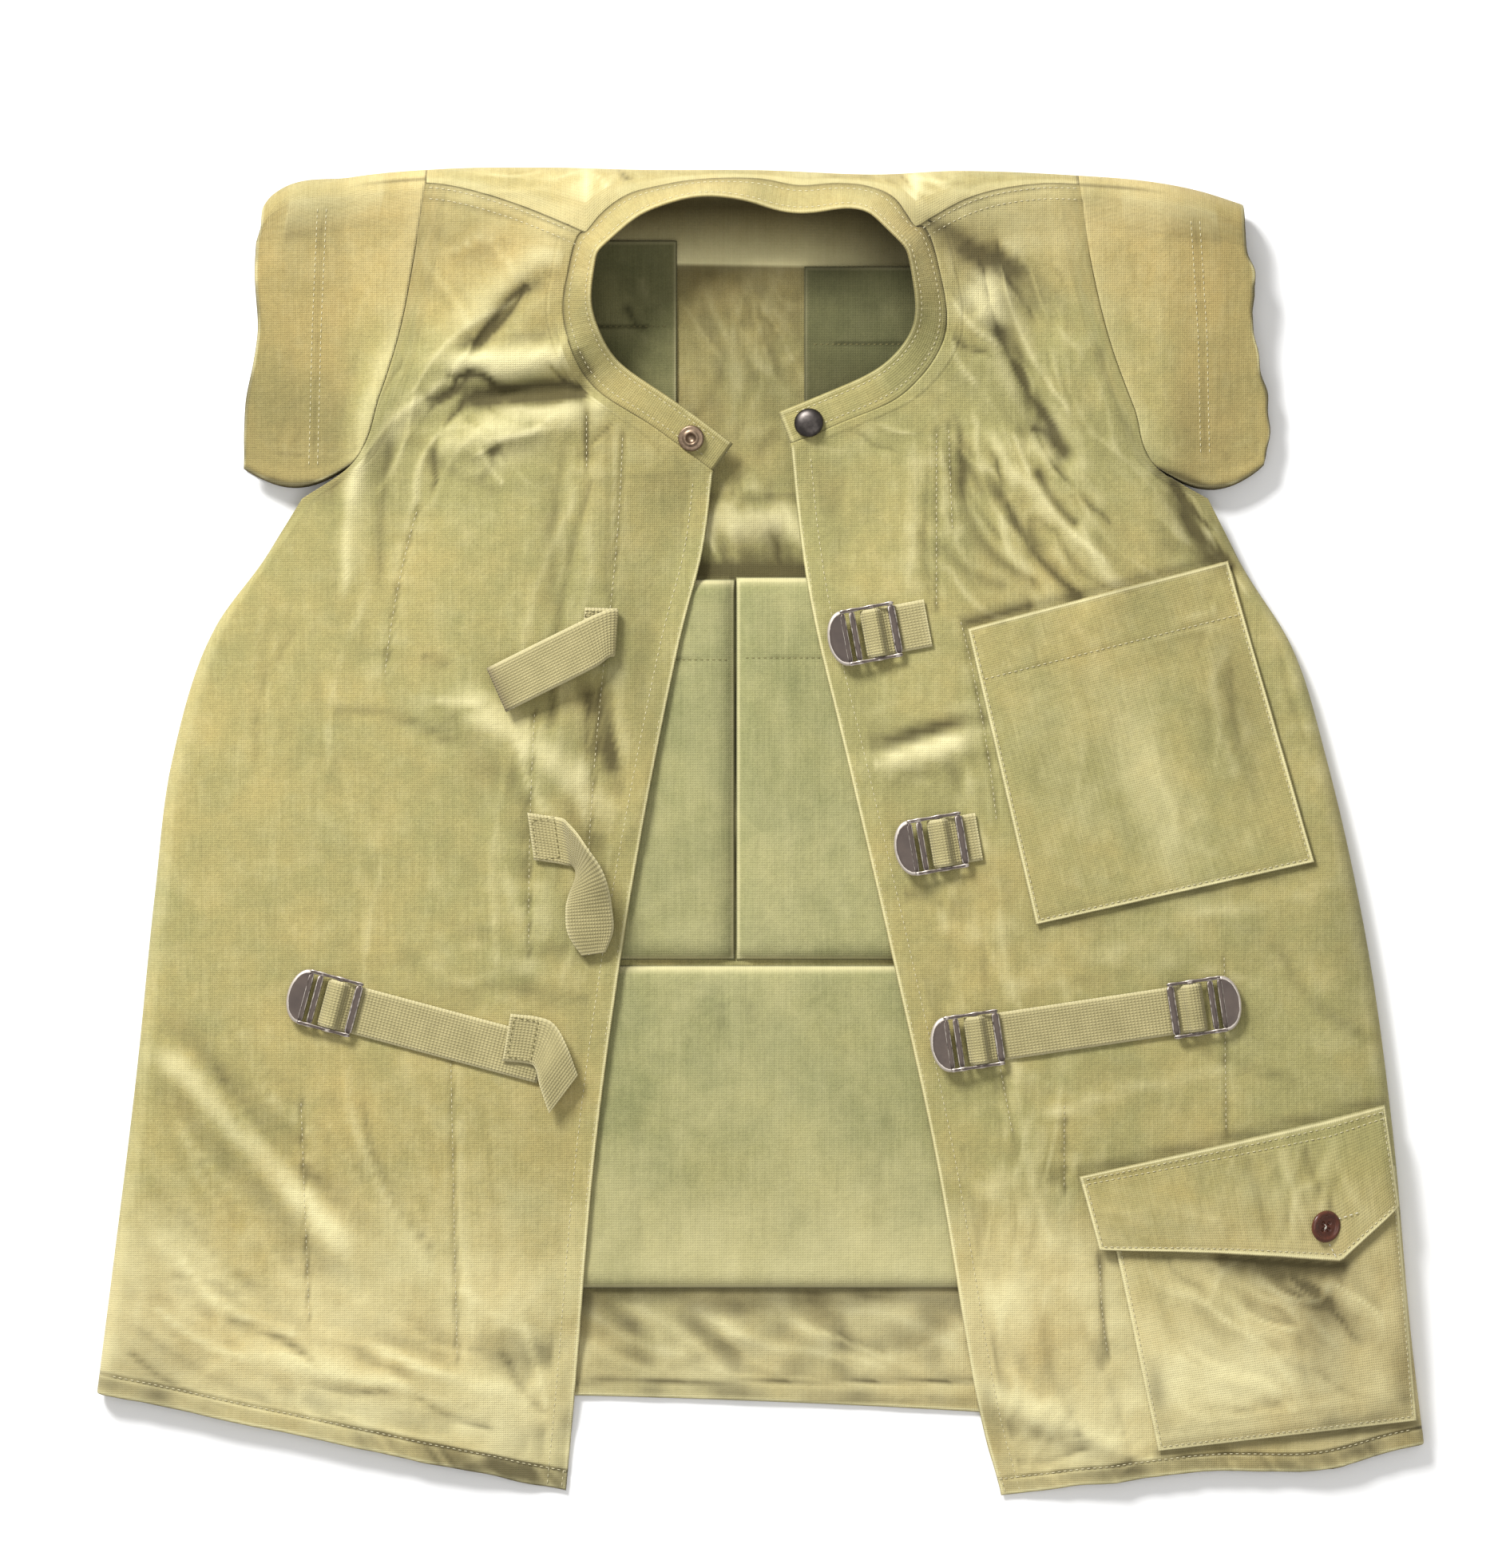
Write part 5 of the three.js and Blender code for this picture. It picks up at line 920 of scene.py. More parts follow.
def pocketTop(spec, x, y):
    # height of an inner pocket's face over the back: full between its rims, puckered where stitches end
    fromX = np.minimum(x - spec["x0"], spec["x1"] - x)
    fromY = np.minimum(y - spec["y0"], spec["y1"] - y)
    puff = 1
    if "round" in spec:
        roundOff = lambda d: np.sqrt(1 - (1 - np.clip(d / spec["round"], 0, 1)) ** 2)
        corner = np.hypot(np.maximum(0, 12 - fromX), np.maximum(0, 12 - fromY)) / 17
        puff = roundOff(fromX) * roundOff(fromY) * smooth(3 * np.clip(1 - corner, 0, 1))
    z = 0.5 + (spec["thick"] - 0.5) * puff
    for x0, y0, x1, y1, bend, wide, deep in pocketCreases:
        across, _, past, _ = alongLine(x, y, x0, y0, x1, y1, bend)
        z = z + 0.6 * deep * np.exp(-(np.abs(across) / wide) ** 1.4) * bell(past, 1.5 * wide) * puff
    z = z + 0.4 * rumple(x, y, 6.0) * puff
    for lineY in spec["rows"]:
        z = z - 0.4 * bell(y - lineY, 1.0) + 0.2 * cloudNoise(x, 0 * x, 7, 4) * np.exp(-np.abs(y - lineY) / 6)
    return np.maximum(z, 0.3), np.minimum(fromX, fromY)


pocketBase = garment["bodyCloth"] + 1.0


def pocketLine(spec, x, lineY):
    # places just over a pocket's face at one height up it
    z, _ = pocketTop(spec, x, lineY + 0 * x)
    return np.stack([x, lineY + 0 * x, pocketBase + z + 0.25], axis=-1)


def innerPocket(name, spec):
    # a grid between the pocket's four edges, closer together along them: a pillow, or one cloth where it is
    # flat
    steps = np.array([0, 0.2, 0.6, 1.3, 2.4, 4.0, 6.0, 8.5]) / 150

    def lines(span):
        return np.concatenate([steps, np.linspace(0.075, 0.925, int(span / 2.1)), 1 - steps[::-1]])

    u, v = np.meshgrid(lines(spec["x1"] - spec["x0"]), lines(spec["y1"] - spec["y0"]))
    x = mix(spec["x0"], spec["x1"], u)
    y = mix(spec["y0"], spec["y1"], v)
    z, edge = pocketTop(spec, x, y)
    shoulder = "round" not in spec
    # the flat shoulder pockets are darkened as painted shade, for the upper layer's shade over them; less on the
    # right one
    pocketShade = 0.60 if "right" in name else 0.84
    if shoulder:  # the open top of a flat pocket stands off a little
        z = z + 1.4 * smooth((y - spec["y1"] + 14) / 14)
    outer = np.stack([x, y, pocketBase + z], axis=-1)
    paint = wearPaint(x, y, z, edge, outside=0.0)
    paint["yellow"] = np.clip(0.12 + 0.5 * smooth((-110 - y) / 110) + 0.15 * cloudNoise(x, y, 60, 2), 0, 1)
    paint["soiledAndShaded"] = np.clip(paint["soiledAndShaded"] + (pocketShade + 0.14 * cloudNoise(x, y, 30, 1) if shoulder else 0), 0, 1)
    if not shoulder:  # painted highlight along each pad's top edge, painted shade along its foot and by the upper right pad's middle groove, and paler blotches
        topEdgeHighlight = 0.7 * bell(spec["y1"] - y - 1.6, 1.6)
        groove = 0.40 * np.exp(-(spec["x1"] - x) / 7) * ("upper_right" in name)
        paint["soiledAndShaded"] = np.clip(paint["soiledAndShaded"] + groove + 0.35 * np.exp(-(y - spec["y0"]) / 3), 0, 1)
        paint["wornAndLit"] = np.clip(paint["wornAndLit"] + 0.10 * (1 + cloudNoise(x, y, 34, 7)) + topEdgeHighlight, 0, 1)
    uv = np.stack([x, y], axis=-1)
    if shoulder:
        return clothPiece(name + "_patch", outer, garment["pocketCloth"], 1, edge / 0.8, paint, uv)
    inner = np.stack([x, y, pocketBase + 0 * z], axis=-1)
    return wallPiece(name + "_pad", outer, inner, uv, paint)


# outer pockets: the two corners of the foot and of the mouth, and how far they gape or puff
chestPocket = {"foot": [(137.6, -46.4), (277.2, -15)], "mouth": [(103.2, 102), (234, 136)], "gape": 2.6}
hipPocket = {"foot": [(199, -310.4), (329, -295)], "mouth": [(175, -198), (318, -166)], "puff": 4.2}
flapColumns = ("share", "topX", "topY", "footX", "footY", "corner")
flapRows = [
    (0, 159, -172, 169, -209, 0), (0.4, 224, -157.4, 232, -210.6, 0), (0.79, 283, -143.4, 290, -214.4, 1),
    (1, 312.4, -136, 320, -187, 0),
]
# creases of the laid pockets: x0, y0, x1, y1, bend, wide, deep
patchCreases = [
    (112, 96, 126, 82, 2, 2.6, 0.8), (134, 104, 138, 83, 0, 1.6, -0.5), (228, 118, 250, 96, 4, 4, -1.0),
    (236, 88, 246, 20, 4, 5, -0.8), (226, 84, 238, 30, 3, 5, 0.7), (196, 60, 206, 10, 3, 7, 0.5),
    (176, 50, 186, -10, 2, 8, -0.4), (150, 60, 160, 0, -3, 7, 0.4), (252, 40, 262, 0, 2, 5, 0.6),
    (220, -8, 250, -18, 2, 4, 0.5), (214, 108, 236, 122, 3, 4, 0.7), (190, -214, 214, -232, 4, 4, 1.1),
    (204, -214, 218, -226, 3, 3, -0.9), (238, -214, 226, -232, 3, 3.4, 1.0),
    (252, -218, 296, -252, -5, 4.5, -1.8), (248, -226, 286, -256, -4, 4, 1.3),
    (262, -218, 274, -232, 2, 3, 0.9), (240, -236, 262, -270, 5, 6, 0.8), (270, -236, 276, -284, 3, 6, -0.8),
    (220, -262, 262, -280, 5, 8, 1.0), (230, -288, 262, -284, 3, 4, -0.9), (206, -280, 224, -296, 2, 4, 0.9),
    (296, -230, 316, -262, -4, 5, 0.9), (280, -270, 312, -284, 4, 5, -1.0),
    (214, -302, 250, -302, 2, 3, -0.7), (200, -236, 206, -280, -2, 5, -0.6),
    (244, -150, 252, -196, 2, 5, -0.8), (262, -150, 272, -196, 2, 5, 0.9),
    (272, -156, 284, -186, 2, 4, -1.1), (232, -160, 234, -206, 0, 3, -0.5),
    (286, -150, 300, -188, 3, 5, 0.8), (178, -190, 226, -196, 2, 6, 0.4),
]
# crinkled places of the laid pockets, as in crinkles
patchCrinkles = [
    (276, -236, 36, 26, -38, 12, 2.2), (220, -252, 50, 40, -50, 15, 1.2), (250, -288, 70, 16, 4, 12, 1.3),
    (262, -180, 34, 34, 82, 12, 1.3), (200, -196, 40, 14, 0, 14, 0.7), (236, 70, 22, 60, 80, 14, 0.9),
    (170, 40, 60, 60, 78, 24, 0.5), (180, 100, 70, 14, 14, 14, 0.7),
]


def patchDetail(x, y):
    # crinkles, creases and unevenness of a laid pocket, added up
    total = crinkleLift(x, y, patchCrinkles)
    for x0, y0, x1, y1, bend, wide, deep in patchCreases:
        across, _, past, _ = alongLine(x, y, x0, y0, x1, y1, bend)
        total = total + 0.5 * deep * np.exp(-(np.abs(across) / (0.65 * wide)) ** 1.15) * bell(past, 1.5 * wide)
    return total + 0.3 * rumple(x, y, 8.0)


def patchPoint(corners, u, v, lift):
    # straight across between the foot's and the mouth's corners, lifted off the front's face
    (fx0, fy0), (fx1, fy1) = corners["foot"]
    (mx0, my0), (mx1, my1) = corners["mouth"]
    x = mix(mix(fx0, fx1, u), mix(mx0, mx1, u), v)
    y = mix(mix(fy0, fy1, u), mix(my0, my1, u), v)
    return np.stack([x, y, upperZ(x, y) + lift(x, y)], axis=-1)


def rimmed(length, count):
    # shares across a patch, closer together along its two folded edges
    near = rimSteps / length
    return np.concatenate([near, np.linspace(4 / length, 1 - 4 / length, count), 1 - near[::-1]])


def patchSheet(name, spec):
    # a laid pocket or flap: a groove along its sewn edges and at each row of stitches, uneven along its rim
    across, down = spec["across"], spec["down"]
    u, v = np.meshgrid(rimmed(across, 66), rimmed(down, 66))
    grid = spec["point"](u, v)
    gx, gy, gz = np.moveaxis(grid, -1, 0)
    edge = np.minimum(np.minimum(u, 1 - u) * across, np.minimum(v, 1 - v) * down)
    gz -= 0.3 * bell(v * down - spec["groove"], 0.9) + 0.3 * bell(edge - 2.6, 0.8)
    gz += 0.3 * cloudNoise(gx + gy, 0 * u, 7, down) * np.exp(-edge / 6)
    paint = wearPaint(gx, gy, gz - upperBase(gx, gy), edge, 0.05)
    # a paler line just inside the rim, and painted shade in a dark line at the rim itself
    paint["wornAndLit"] = np.clip(paint["wornAndLit"] + 0.2 * bell(edge - 1.6, 0.9), 0, 1)
    paint["soiledAndShaded"] = np.clip(paint["soiledAndShaded"] * smooth((edge - 0.4) / 2) + 0.5 * bell(edge, 0.6), 0, 1)
    uv = np.stack([u * across, v * down], axis=-1)
    return clothPiece(name, grid, garment["pocketCloth"], 1, edge, paint, uv)


clear = garment["laidGap"] + garment["pocketCloth"]  # a laid piece's middle, over the cloth under it


def chestPoint(u, v):
    # lies on the front, its mouth gaping in a half wave
    wave = np.sin(np.pi * np.clip(u, 0.02, 0.98)) ** 0.7
    gape = chestPocket["gape"] * np.clip(v, 0, 1) ** 7 * wave
    rise = clear + 0.9 + gape
    return patchPoint(chestPocket, u, v, lambda x, y: rise + np.maximum(-0.6, 0.9 * patchDetail(x, y)))


def hipPoint(u, v):
    # puffed up between its edges, and more creased where it is
    puff = np.sin(np.pi * np.clip(u, 0, 1)) ** 0.5 * np.sin(np.pi * np.clip(v, 0, 1)) ** 0.4
    rise = clear + 0.5 + hipPocket["puff"] * puff
    return patchPoint(hipPocket, u, v, lambda x, y: rise + patchDetail(x, y) * (0.3 + 0.7 * puff))


flapX, flapY, flapFootX, flapFootY = (
    smoothCurve(flapColumns, flapRows, "share", k) for k in ("topX", "topY", "footX", "footY"))


def flapPoint(u, v):
    # v runs from the flap's pointed foot to its sewn top edge, over the puffed pocket
    x = mix(flapFootX(u), flapX(u), v)
    y = mix(flapFootY(u), flapY(u), v)
    under = hipPocket["puff"] * np.sin(np.pi * np.clip(u, 0.0, 1)) ** 0.5 * smooth((0.9 - v) / 0.6)
    lift = clear * 2 + 1.5 + under + 1.2 * bell(v, 0.12) * bell(u - 0.62, 0.2) + patchDetail(x, y)
    return np.stack([x, y, upperZ(x, y) + lift], axis=-1)


laidPieces = {
    "chest_patch": {"point": chestPoint, "across": 143, "down": 154, "groove": 127.0, "sewn": [127.0],
                    "node": "chest_pocket"},
    "hip_pouch": {"point": hipPoint, "across": 131, "down": 114, "groove": 9.0, "sewn": [],
                  "node": "hip_pocket"},
    "pointed_flap": {"point": flapPoint, "across": 152, "down": 46, "groove": 41.0, "sewn": [40.4, 43.2],
                     "node": "hip_pocket_flap"},
}

ribbonColumns = ("x", "y", "lift", "across", "tilt", "wide")
webbing = {"wide": 24.0, "thick": 1.2, "pitch": 1.4}
laidStrap = garment["laidGap"] + webbing["thick"] + 0.6


def ribbonGrid(rows, length, columns=17):
    # webbing as a strip across a path: each row gives its middle, its lift, its direction across and its tilt
    full = [(i, *row[:4], *(row[4:] or (0, webbing["wide"]))) for i, row in enumerate(rows)]
    names = ("i", *ribbonColumns)
    x, y, lift, across, tilt, wide = (smoothCurve(names, full, "i", k) for k in ribbonColumns)
    i = np.linspace(0, len(rows) - 1, length)[:, None]
    flat, up = np.radians(across(i)), np.radians(tilt(i))
    s = np.linspace(-0.5, 0.5, columns)[None, :] * wide(i)
    cz = upperBase(x(i), y(i)) + lift(i)
    px = x(i) + np.cos(flat) * np.cos(up) * s
    py = y(i) + np.sin(flat) * np.cos(up) * s
    pz = cz + np.sin(up) * s
    lies = 1 - np.clip((lift(i) - 2.6) / 3, 0, 1)
    pz = pz + lies * (upperBase(px, py) - upperBase(x(i), y(i)))
    return np.stack([px, py, pz], axis=-1)


def ribbonPiece(name, rows):
    # the strip as cloth, its map along it in millimetres; one cut end is singed
    grid = ribbonGrid(rows, 120)
    step = np.linalg.norm(np.diff(grid[:, 8], axis=0), axis=1)
    along = np.concatenate([[0], np.cumsum(step)])[:, None]
    s = np.linspace(-0.5, 0.5, grid.shape[1])[None, :] * webbing["wide"]
    uv = np.stack([s + 0 * along, along + 0 * s], axis=-1)
    edge = np.minimum(webbing["wide"] / 2 - np.abs(s), np.minimum(along, along[-1] - along) + 0.2) + 0 * along
    singed = 0.75 * np.exp(-(along[-1] - along + 0 * edge) / 3.0) * (name == "strap_top_right_web")
    paint = {"wornAndLit": 0.55 * np.exp(-edge / 0.9), "soiledAndShaded": singed}
    return clothPiece(name, grid, webbing["thick"], -1, edge / 0.7, paint, uv)


buckle = {"wide": 28.0, "rail": 1.6, "plate": 8.8, "slot": 3.8, "bar": 3.2, "window": 16.4, "core": 3.6,
          "end": 4.0,
          "thick": 1.8}
buckleLength = buckle["plate"] + buckle["slot"] + buckle["bar"] + buckle["window"] + buckle["end"]
buckles = {
    "buckle_upper_left": {"tip": (33.6, 95.4), "bearing": 10.6, "loopEnd": 51},
    "buckle_middle_left": {"tip": (66.9, -9.3), "bearing": 9.7, "loopEnd": 43},
    "buckle_lower_left": {"tip": (85, -107.4), "bearing": 8.5, "loopEnd": 78.4},
    "buckle_side_left": {"tip": (240.2, -84.2), "bearing": 188.5, "loopEnd": 78.4},
    "buckle_side_right": {"tip": (-236.4, -79.8), "bearing": -15, "loopEnd": 132},
}


def onBearing(spec, distance, lift):
    # a row of webbing at this distance from a buckle's tip, along its bearing
    a = math.radians(spec["bearing"])
    x, y = spec["tip"]
    return (x + math.cos(a) * distance, y + math.sin(a) * distance, lift, spec["bearing"] + 90)


def loopRows(name, spec):
    # sewn down beyond the buckle, under its end bar, up through the window and over the core bar
    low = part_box(name)[0][2] / mm
    top = low + buckle["thick"] + 0.5 + webbing["thick"]
    core = buckle["plate"] + buckle["slot"] + buckle["bar"] + buckle["window"] / 2
    spread = buckle["core"] / 2 + (buckle["window"] - buckle["core"]) / 4

    def climb(d):
        x, y, _, _ = onBearing(spec, d, 0)
        return top - float(upperBase(np.array([x]), np.array([y]))[0])

    return [
        onBearing(spec, core - spread - 0.9, climb(core - spread) - buckle["thick"] - 2.4),
        onBearing(spec, core - spread * 0.62, climb(core) - 0.6),
        onBearing(spec, core + spread * 0.42, climb(core) + 0.1),
        onBearing(spec, core + spread + 1.6, laidStrap + 0.3),
        onBearing(spec, buckleLength + 4, laidStrap),
        onBearing(spec, (buckleLength + 4 + spec["loopEnd"]) / 2, laidStrap),
        onBearing(spec, spec["loopEnd"], laidStrap),
    ]


# free ends, sewn down at the first rows: x, y, lift, direction across, tilt, wide
freeStraps = {
    "strap_top_right": [
        (-89, 100.5, laidStrap, 84), (-77, 100.2, laidStrap, 84), (-73, 100, laidStrap + 1.6, 86),
        (-77, 99, laidStrap + 3.6, 92), (-88, 93, laidStrap + 4.6, 110), (-110, 82, laidStrap + 5.0, 116),
        (-132, 71, laidStrap + 3.6, 114),
    ],
    "strap_middle_right": [
        (-115, -2, laidStrap, 98, 0, 24), (-100, -4.4, laidStrap, 98, 0, 24), (-95, -7, 9, 92, 30, 24),
        (-90, -14, 14.5, 66, 52, 24), (-87, -25, 14.5, 26, 36, 24), (-86, -38, 10, 6, 12, 24),
        (-85, -50, 7, 4, 2, 23), (-83.5, -61, 4.6, 8, 0, 12),
    ],
    "strap_low_right": [
        (-127, -102.5, laidStrap + 2.2, 80), (-114, -104, laidStrap + 2.0, 78),
        (-108, -107, laidStrap + 3.2, 66),
        (-103.5, -117, laidStrap + 6, 55), (-98.5, -131, laidStrap + 5, 53),
    ],
}


def joined(parts):
    # several closed grids as one mesh
    points, faces, start = [], [], 0
    for p, f in parts:
        points.append(p)
        faces.append(f + start)
        start += len(p)
    return np.concatenate(points), np.concatenate(faces)


def sweptBar(path, halfWide, halfThick, power=3.2, around=20, swell=None):
    # a rounded oblong section (superellipse) carried along a path, its ends closed round
    path = np.asarray(path, float)
    n = len(path)
    end = np.sqrt(1 - np.linspace(-1, 1, n) ** 14)
    end = np.maximum(end, 0.12) * (1 if swell is None else swell)
    a = np.linspace(0, 2 * np.pi, around, endpoint=False)
    cx = np.sign(np.cos(a)) * np.abs(np.cos(a)) ** (2 / power)
    cz = np.sign(np.sin(a)) * np.abs(np.sin(a)) ** (2 / power)
    tangent = np.gradient(path, axis=0)
    tangent /= np.linalg.norm(tangent, axis=1, keepdims=True)
    across = np.cross(tangent, [0, 0, 1])
    across /= np.linalg.norm(across, axis=1, keepdims=True)
    upward = np.cross(across, tangent)
    ring = (path[:, None] + across[:, None] * (cx * halfWide)[None, :, None] * end[:, None, None]
            + upward[:, None] * (cz * halfThick)[None, :, None] * end[:, None, None])
    place = np.arange(n * around).reshape(n, around)
    nxt = np.roll(place, -1, axis=1)
    faces = np.stack([place[:-1], nxt[:-1], nxt[1:], place[1:]], axis=-1).reshape(-1, 4)
    points = ring.reshape(-1, 3)
    centre = len(points)
    points = np.concatenate([points, path[:1], path[-1:]])
    first = np.stack([np.full(around, centre), nxt[0], place[0], place[0]], axis=-1)
    last = np.stack([np.full(around, centre + 1), place[-1], nxt[-1], nxt[-1]], axis=-1)
    wornAndLit = np.concatenate([np.tile(smooth((np.abs(cx) * np.abs(cz) - 0.35) / 0.5), n), [0.6, 0.6]])
    return points, np.concatenate([faces, first, last])[:, ::-1], wornAndLit


def discPlate(centre, radiusX, radiusY, thick):
    # the half-round thumb plate: a half ellipse with its rim turned down and its face a little hollow
    a = np.linspace(np.pi / 2, 1.5 * np.pi, 41)[None, :]
    r = np.concatenate([np.linspace(0.02, 0.86, 12), [0.91, 0.95, 0.98, 1.0]])[:, None]
    x = centre[0] + r * radiusX * np.cos(a)
    y = centre[1] + r * radiusY * np.sin(a)
    rim = np.sqrt(np.clip(1 - ((r - 0.86) / 0.14).clip(0, 1) ** 2, 0, 1))
    z = thick / 2 * rim + 0.25 * bell(r - 0.9, 0.05) + 0 * a
    upper = np.stack([x, y, centre[2] + z], axis=-1)
    lower = np.stack([x, y, centre[2] - thick / 2 * rim + 0 * a], axis=-1)
    return upper, lower, smooth((r - 0.82) / 0.1) + 0 * a


def buckleMesh(name, spec):
    # four cross bars and two side rails, which thicken where they meet, and the thumb plate, turned to its
    # bearing
    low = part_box(name)[0][2] / mm
    thick, wide = buckle["thick"], buckle["wide"]
    mid = thick / 2
    plate, slot, bar, window, end = (buckle[k] for k in ("plate", "slot", "bar", "window", "end"))
    bars = [
        (plate + 0.6, 1.4, thick * 0.62), (plate + slot + bar / 2, bar / 2, thick * 0.66),
        (plate + slot + bar + window / 2, buckle["core"] / 2, thick * 0.45),
        (buckleLength - end / 2, end / 2, thick * 0.66),
    ]
    parts, wornAndLit = [], []

    def add(points, faces, shine):
        parts.append((points, faces))
        wornAndLit.append(shine)

    reach = wide / 2 - buckle["rail"] / 2
    for x, half, tall in bars:
        add(*sweptBar([(x, t, mid) for t in np.linspace(-reach, reach, 15)], half, tall))
    for y in (-reach, reach):
        along = np.linspace(plate - 0.8, buckleLength - 0.3, 61)
        swell = 1 + 0.45 * sum(bell(along - x, half + 0.4) for x, half, _ in bars)
        points, faces, shine = sweptBar(
            [(x, y, mid) for x in along], buckle["rail"] / 2, thick * 0.42, swell=swell)
        add(points, faces, np.clip(shine + 0.8 * np.concatenate([np.repeat(swell - 1, 20), [1, 1]]), 0, 1))
    upper, lower, shine = discPlate((plate, 0, mid), plate, wide / 2, thick)
    plate = np.concatenate([upper.reshape(-1, 3), lower.reshape(-1, 3)])
    add(plate, wallFaces(*upper.shape[:2])[:, ::-1], np.tile(shine.ravel(), 2))
    points, faces = joined(parts)
    a = math.radians(spec["bearing"])
    turned = points.copy()
    turned[:, 0] = spec["tip"][0] + points[:, 0] * math.cos(a) - points[:, 1] * math.sin(a)
    turned[:, 1] = spec["tip"][1] + points[:, 0] * math.sin(a) + points[:, 1] * math.cos(a)
    turned[:, 2] = points[:, 2] + low
    piece = makePiece(name.replace("buckle", "pressed_buckle"), turned, dropRepeats(faces), None,
                      {"wornAndLit": np.concatenate(wornAndLit)})
    return outwards(piece)


def dropRepeats(faces):
    # a quad whose last two corners are one point is a triangle
    return [list(dict.fromkeys(face)) for face in np.asarray(faces).tolist()]


def outwards(piece):
    # its faces turned to point out
    bpy.context.view_layer.objects.active = piece
    piece.select_set(True)
    bpy.ops.object.mode_set(mode="EDIT")
    bpy.ops.mesh.select_all(action="SELECT")
    bpy.ops.mesh.normals_make_consistent(inside=False)
    bpy.ops.object.mode_set(mode="OBJECT")
    piece.select_set(False)
    return piece


thread = {"length": 2.0, "pitch": 3.0, "wide": 0.42, "high": 0.3}


def stitchRun(points):
    # short spindles laid end to end along a line of points, each sunk a little into the cloth
    pitch, length = thread["pitch"], thread["length"]
    points = np.asarray(points, float)
    along = np.concatenate([[0], np.cumsum(np.linalg.norm(np.diff(points, axis=0), axis=1))])
    middles = np.arange(pitch / 2, along[-1] - pitch / 4, pitch)
    at = lambda s: np.stack([np.interp(s, along, points[:, k]) for k in range(3)], axis=-1)
    middle, ahead, behind = at(middles), at(middles + length / 2), at(middles - length / 2)
    tangent = ahead - behind
    tangent /= np.maximum(np.linalg.norm(tangent, axis=1, keepdims=True), 1e-9)
    side = np.cross(tangent, [0, 0, 1])
    side /= np.maximum(np.linalg.norm(side, axis=1, keepdims=True), 1e-9)
    up = np.cross(side, tangent)
    w, h = thread["wide"] / 2, thread["high"]
    shape = np.array([(-1, 0, -0.6 * h), (-0.55, w, 0), (-0.55, 0, h), (-0.55, -w, 0), (-0.55, 0, -0.6 * h),
                      (0.55, w, 0), (0.55, 0, h), (0.55, -w, 0), (0.55, 0, -0.6 * h), (1, 0, -0.6 * h)])
    verts = (middle[:, None] + tangent[:, None] * (shape[:, 0] * length / 2)[None, :, None]
             + side[:, None] * shape[:, 1][None, :, None] + up[:, None] * shape[:, 2][None, :, None])
    tri = [(0, 1, 2), (0, 2, 3), (0, 3, 4), (0, 4, 1), (9, 6, 5), (9, 7, 6), (9, 8, 7), (9, 5, 8),
           (1, 5, 6), (1, 6, 2), (2, 6, 7), (2, 7, 3), (3, 7, 8), (3, 8, 4), (4, 8, 5), (4, 5, 1)]
    faces = (np.array(tri)[None] + (np.arange(len(middles)) * len(shape))[:, None, None]).reshape(-1, 3)
    return verts.reshape(-1, 3), faces


def stitchPiece(name, runs):
    return makePiece(name, *joined([stitchRun(run) for run in runs]))


def overPanel(x, y):
    # on a panel's face, where its thread lies
    return np.stack([x, y, upperZ(x, y) + 0.12], axis=-1)


def frontEdgeRun(side, inset):
    # a line on a front at a fixed inset from its front edge, hem to collar
    s = np.linspace(0.02, 6.9, 220)
    endX, _ = frontPlan(side, 1.0, s)
    startX, _ = frontPlan(side, 0.0, s)
    x, y = frontPlan(side, inset / np.abs(endX - startX), s)
    return overPanel(x, y)


def hemRun(side, rise):
    # a line on a front this far up from its hem
    x, y = frontPlan(side, np.linspace(0.0, 0.97, 220), rise / frontSection)
    return overPanel(x, y)


def quiltRun(x0, y0, x1, y1, bend):
    # a line bowed sideways by bend
    t = np.linspace(0, 1, 160)
    length = math.hypot(x1 - x0, y1 - y0)
    nx, ny = (y1 - y0) / length, -(x1 - x0) / length
    bow = bend * 4 * t * (1 - t)
    return overPanel(mix(x0, x1, t) + nx * bow, mix(y0, y1, t) + ny * bow)


def shoulderRun(x0, x1, below):
    # a line at a fixed distance below the shoulder seam
    x = np.linspace(x0, x1, 160)
    return overPanel(x, topY(x) - seamDrop(x) - below)


def lineRun(points, shift):
    # along a few given places on the cloth
    path = np.array(points, float)
    t = np.linspace(0, len(path) - 1, 160)
    x, y = (np.interp(t, range(len(path)), path[:, k]) for k in (0, 1))
    return overPanel(x + shift, y)


sleeveLines = {"right_sleeve_cap": [(-219, 312), (-222, 250), (-224, 182)],
               "left_sleeve_cap": [(217, 306), (221, 247), (222.5, 190)]}


def boxRun(x, y, wide, long, bearing, lift):
    # a stitched box, as where webbing is sewn down
    a = math.radians(bearing)
    corner = np.array([(-1, -1), (1, -1), (1, 1), (-1, 1), (-1, -1)]) * [long / 2, wide / 2]
    t = np.linspace(0, 4, 161)
    bx, by = np.interp(t, range(5), corner[:, 0]), np.interp(t, range(5), corner[:, 1])
    px, py = x + bx * math.cos(a) - by * math.sin(a), y + bx * math.sin(a) + by * math.cos(a)
    return np.stack([px, py, upperBase(px, py) + lift], axis=-1)


def srgb(colour):
    # hex sRGB to linear
    parts = [int(colour[i:i + 2], 16) / 255 for i in (1, 3, 5)]
    return (*[c / 12.92 if c <= 0.04045 else ((c + 0.055) / 1.055) ** 2.4 for c in parts], 1.0)


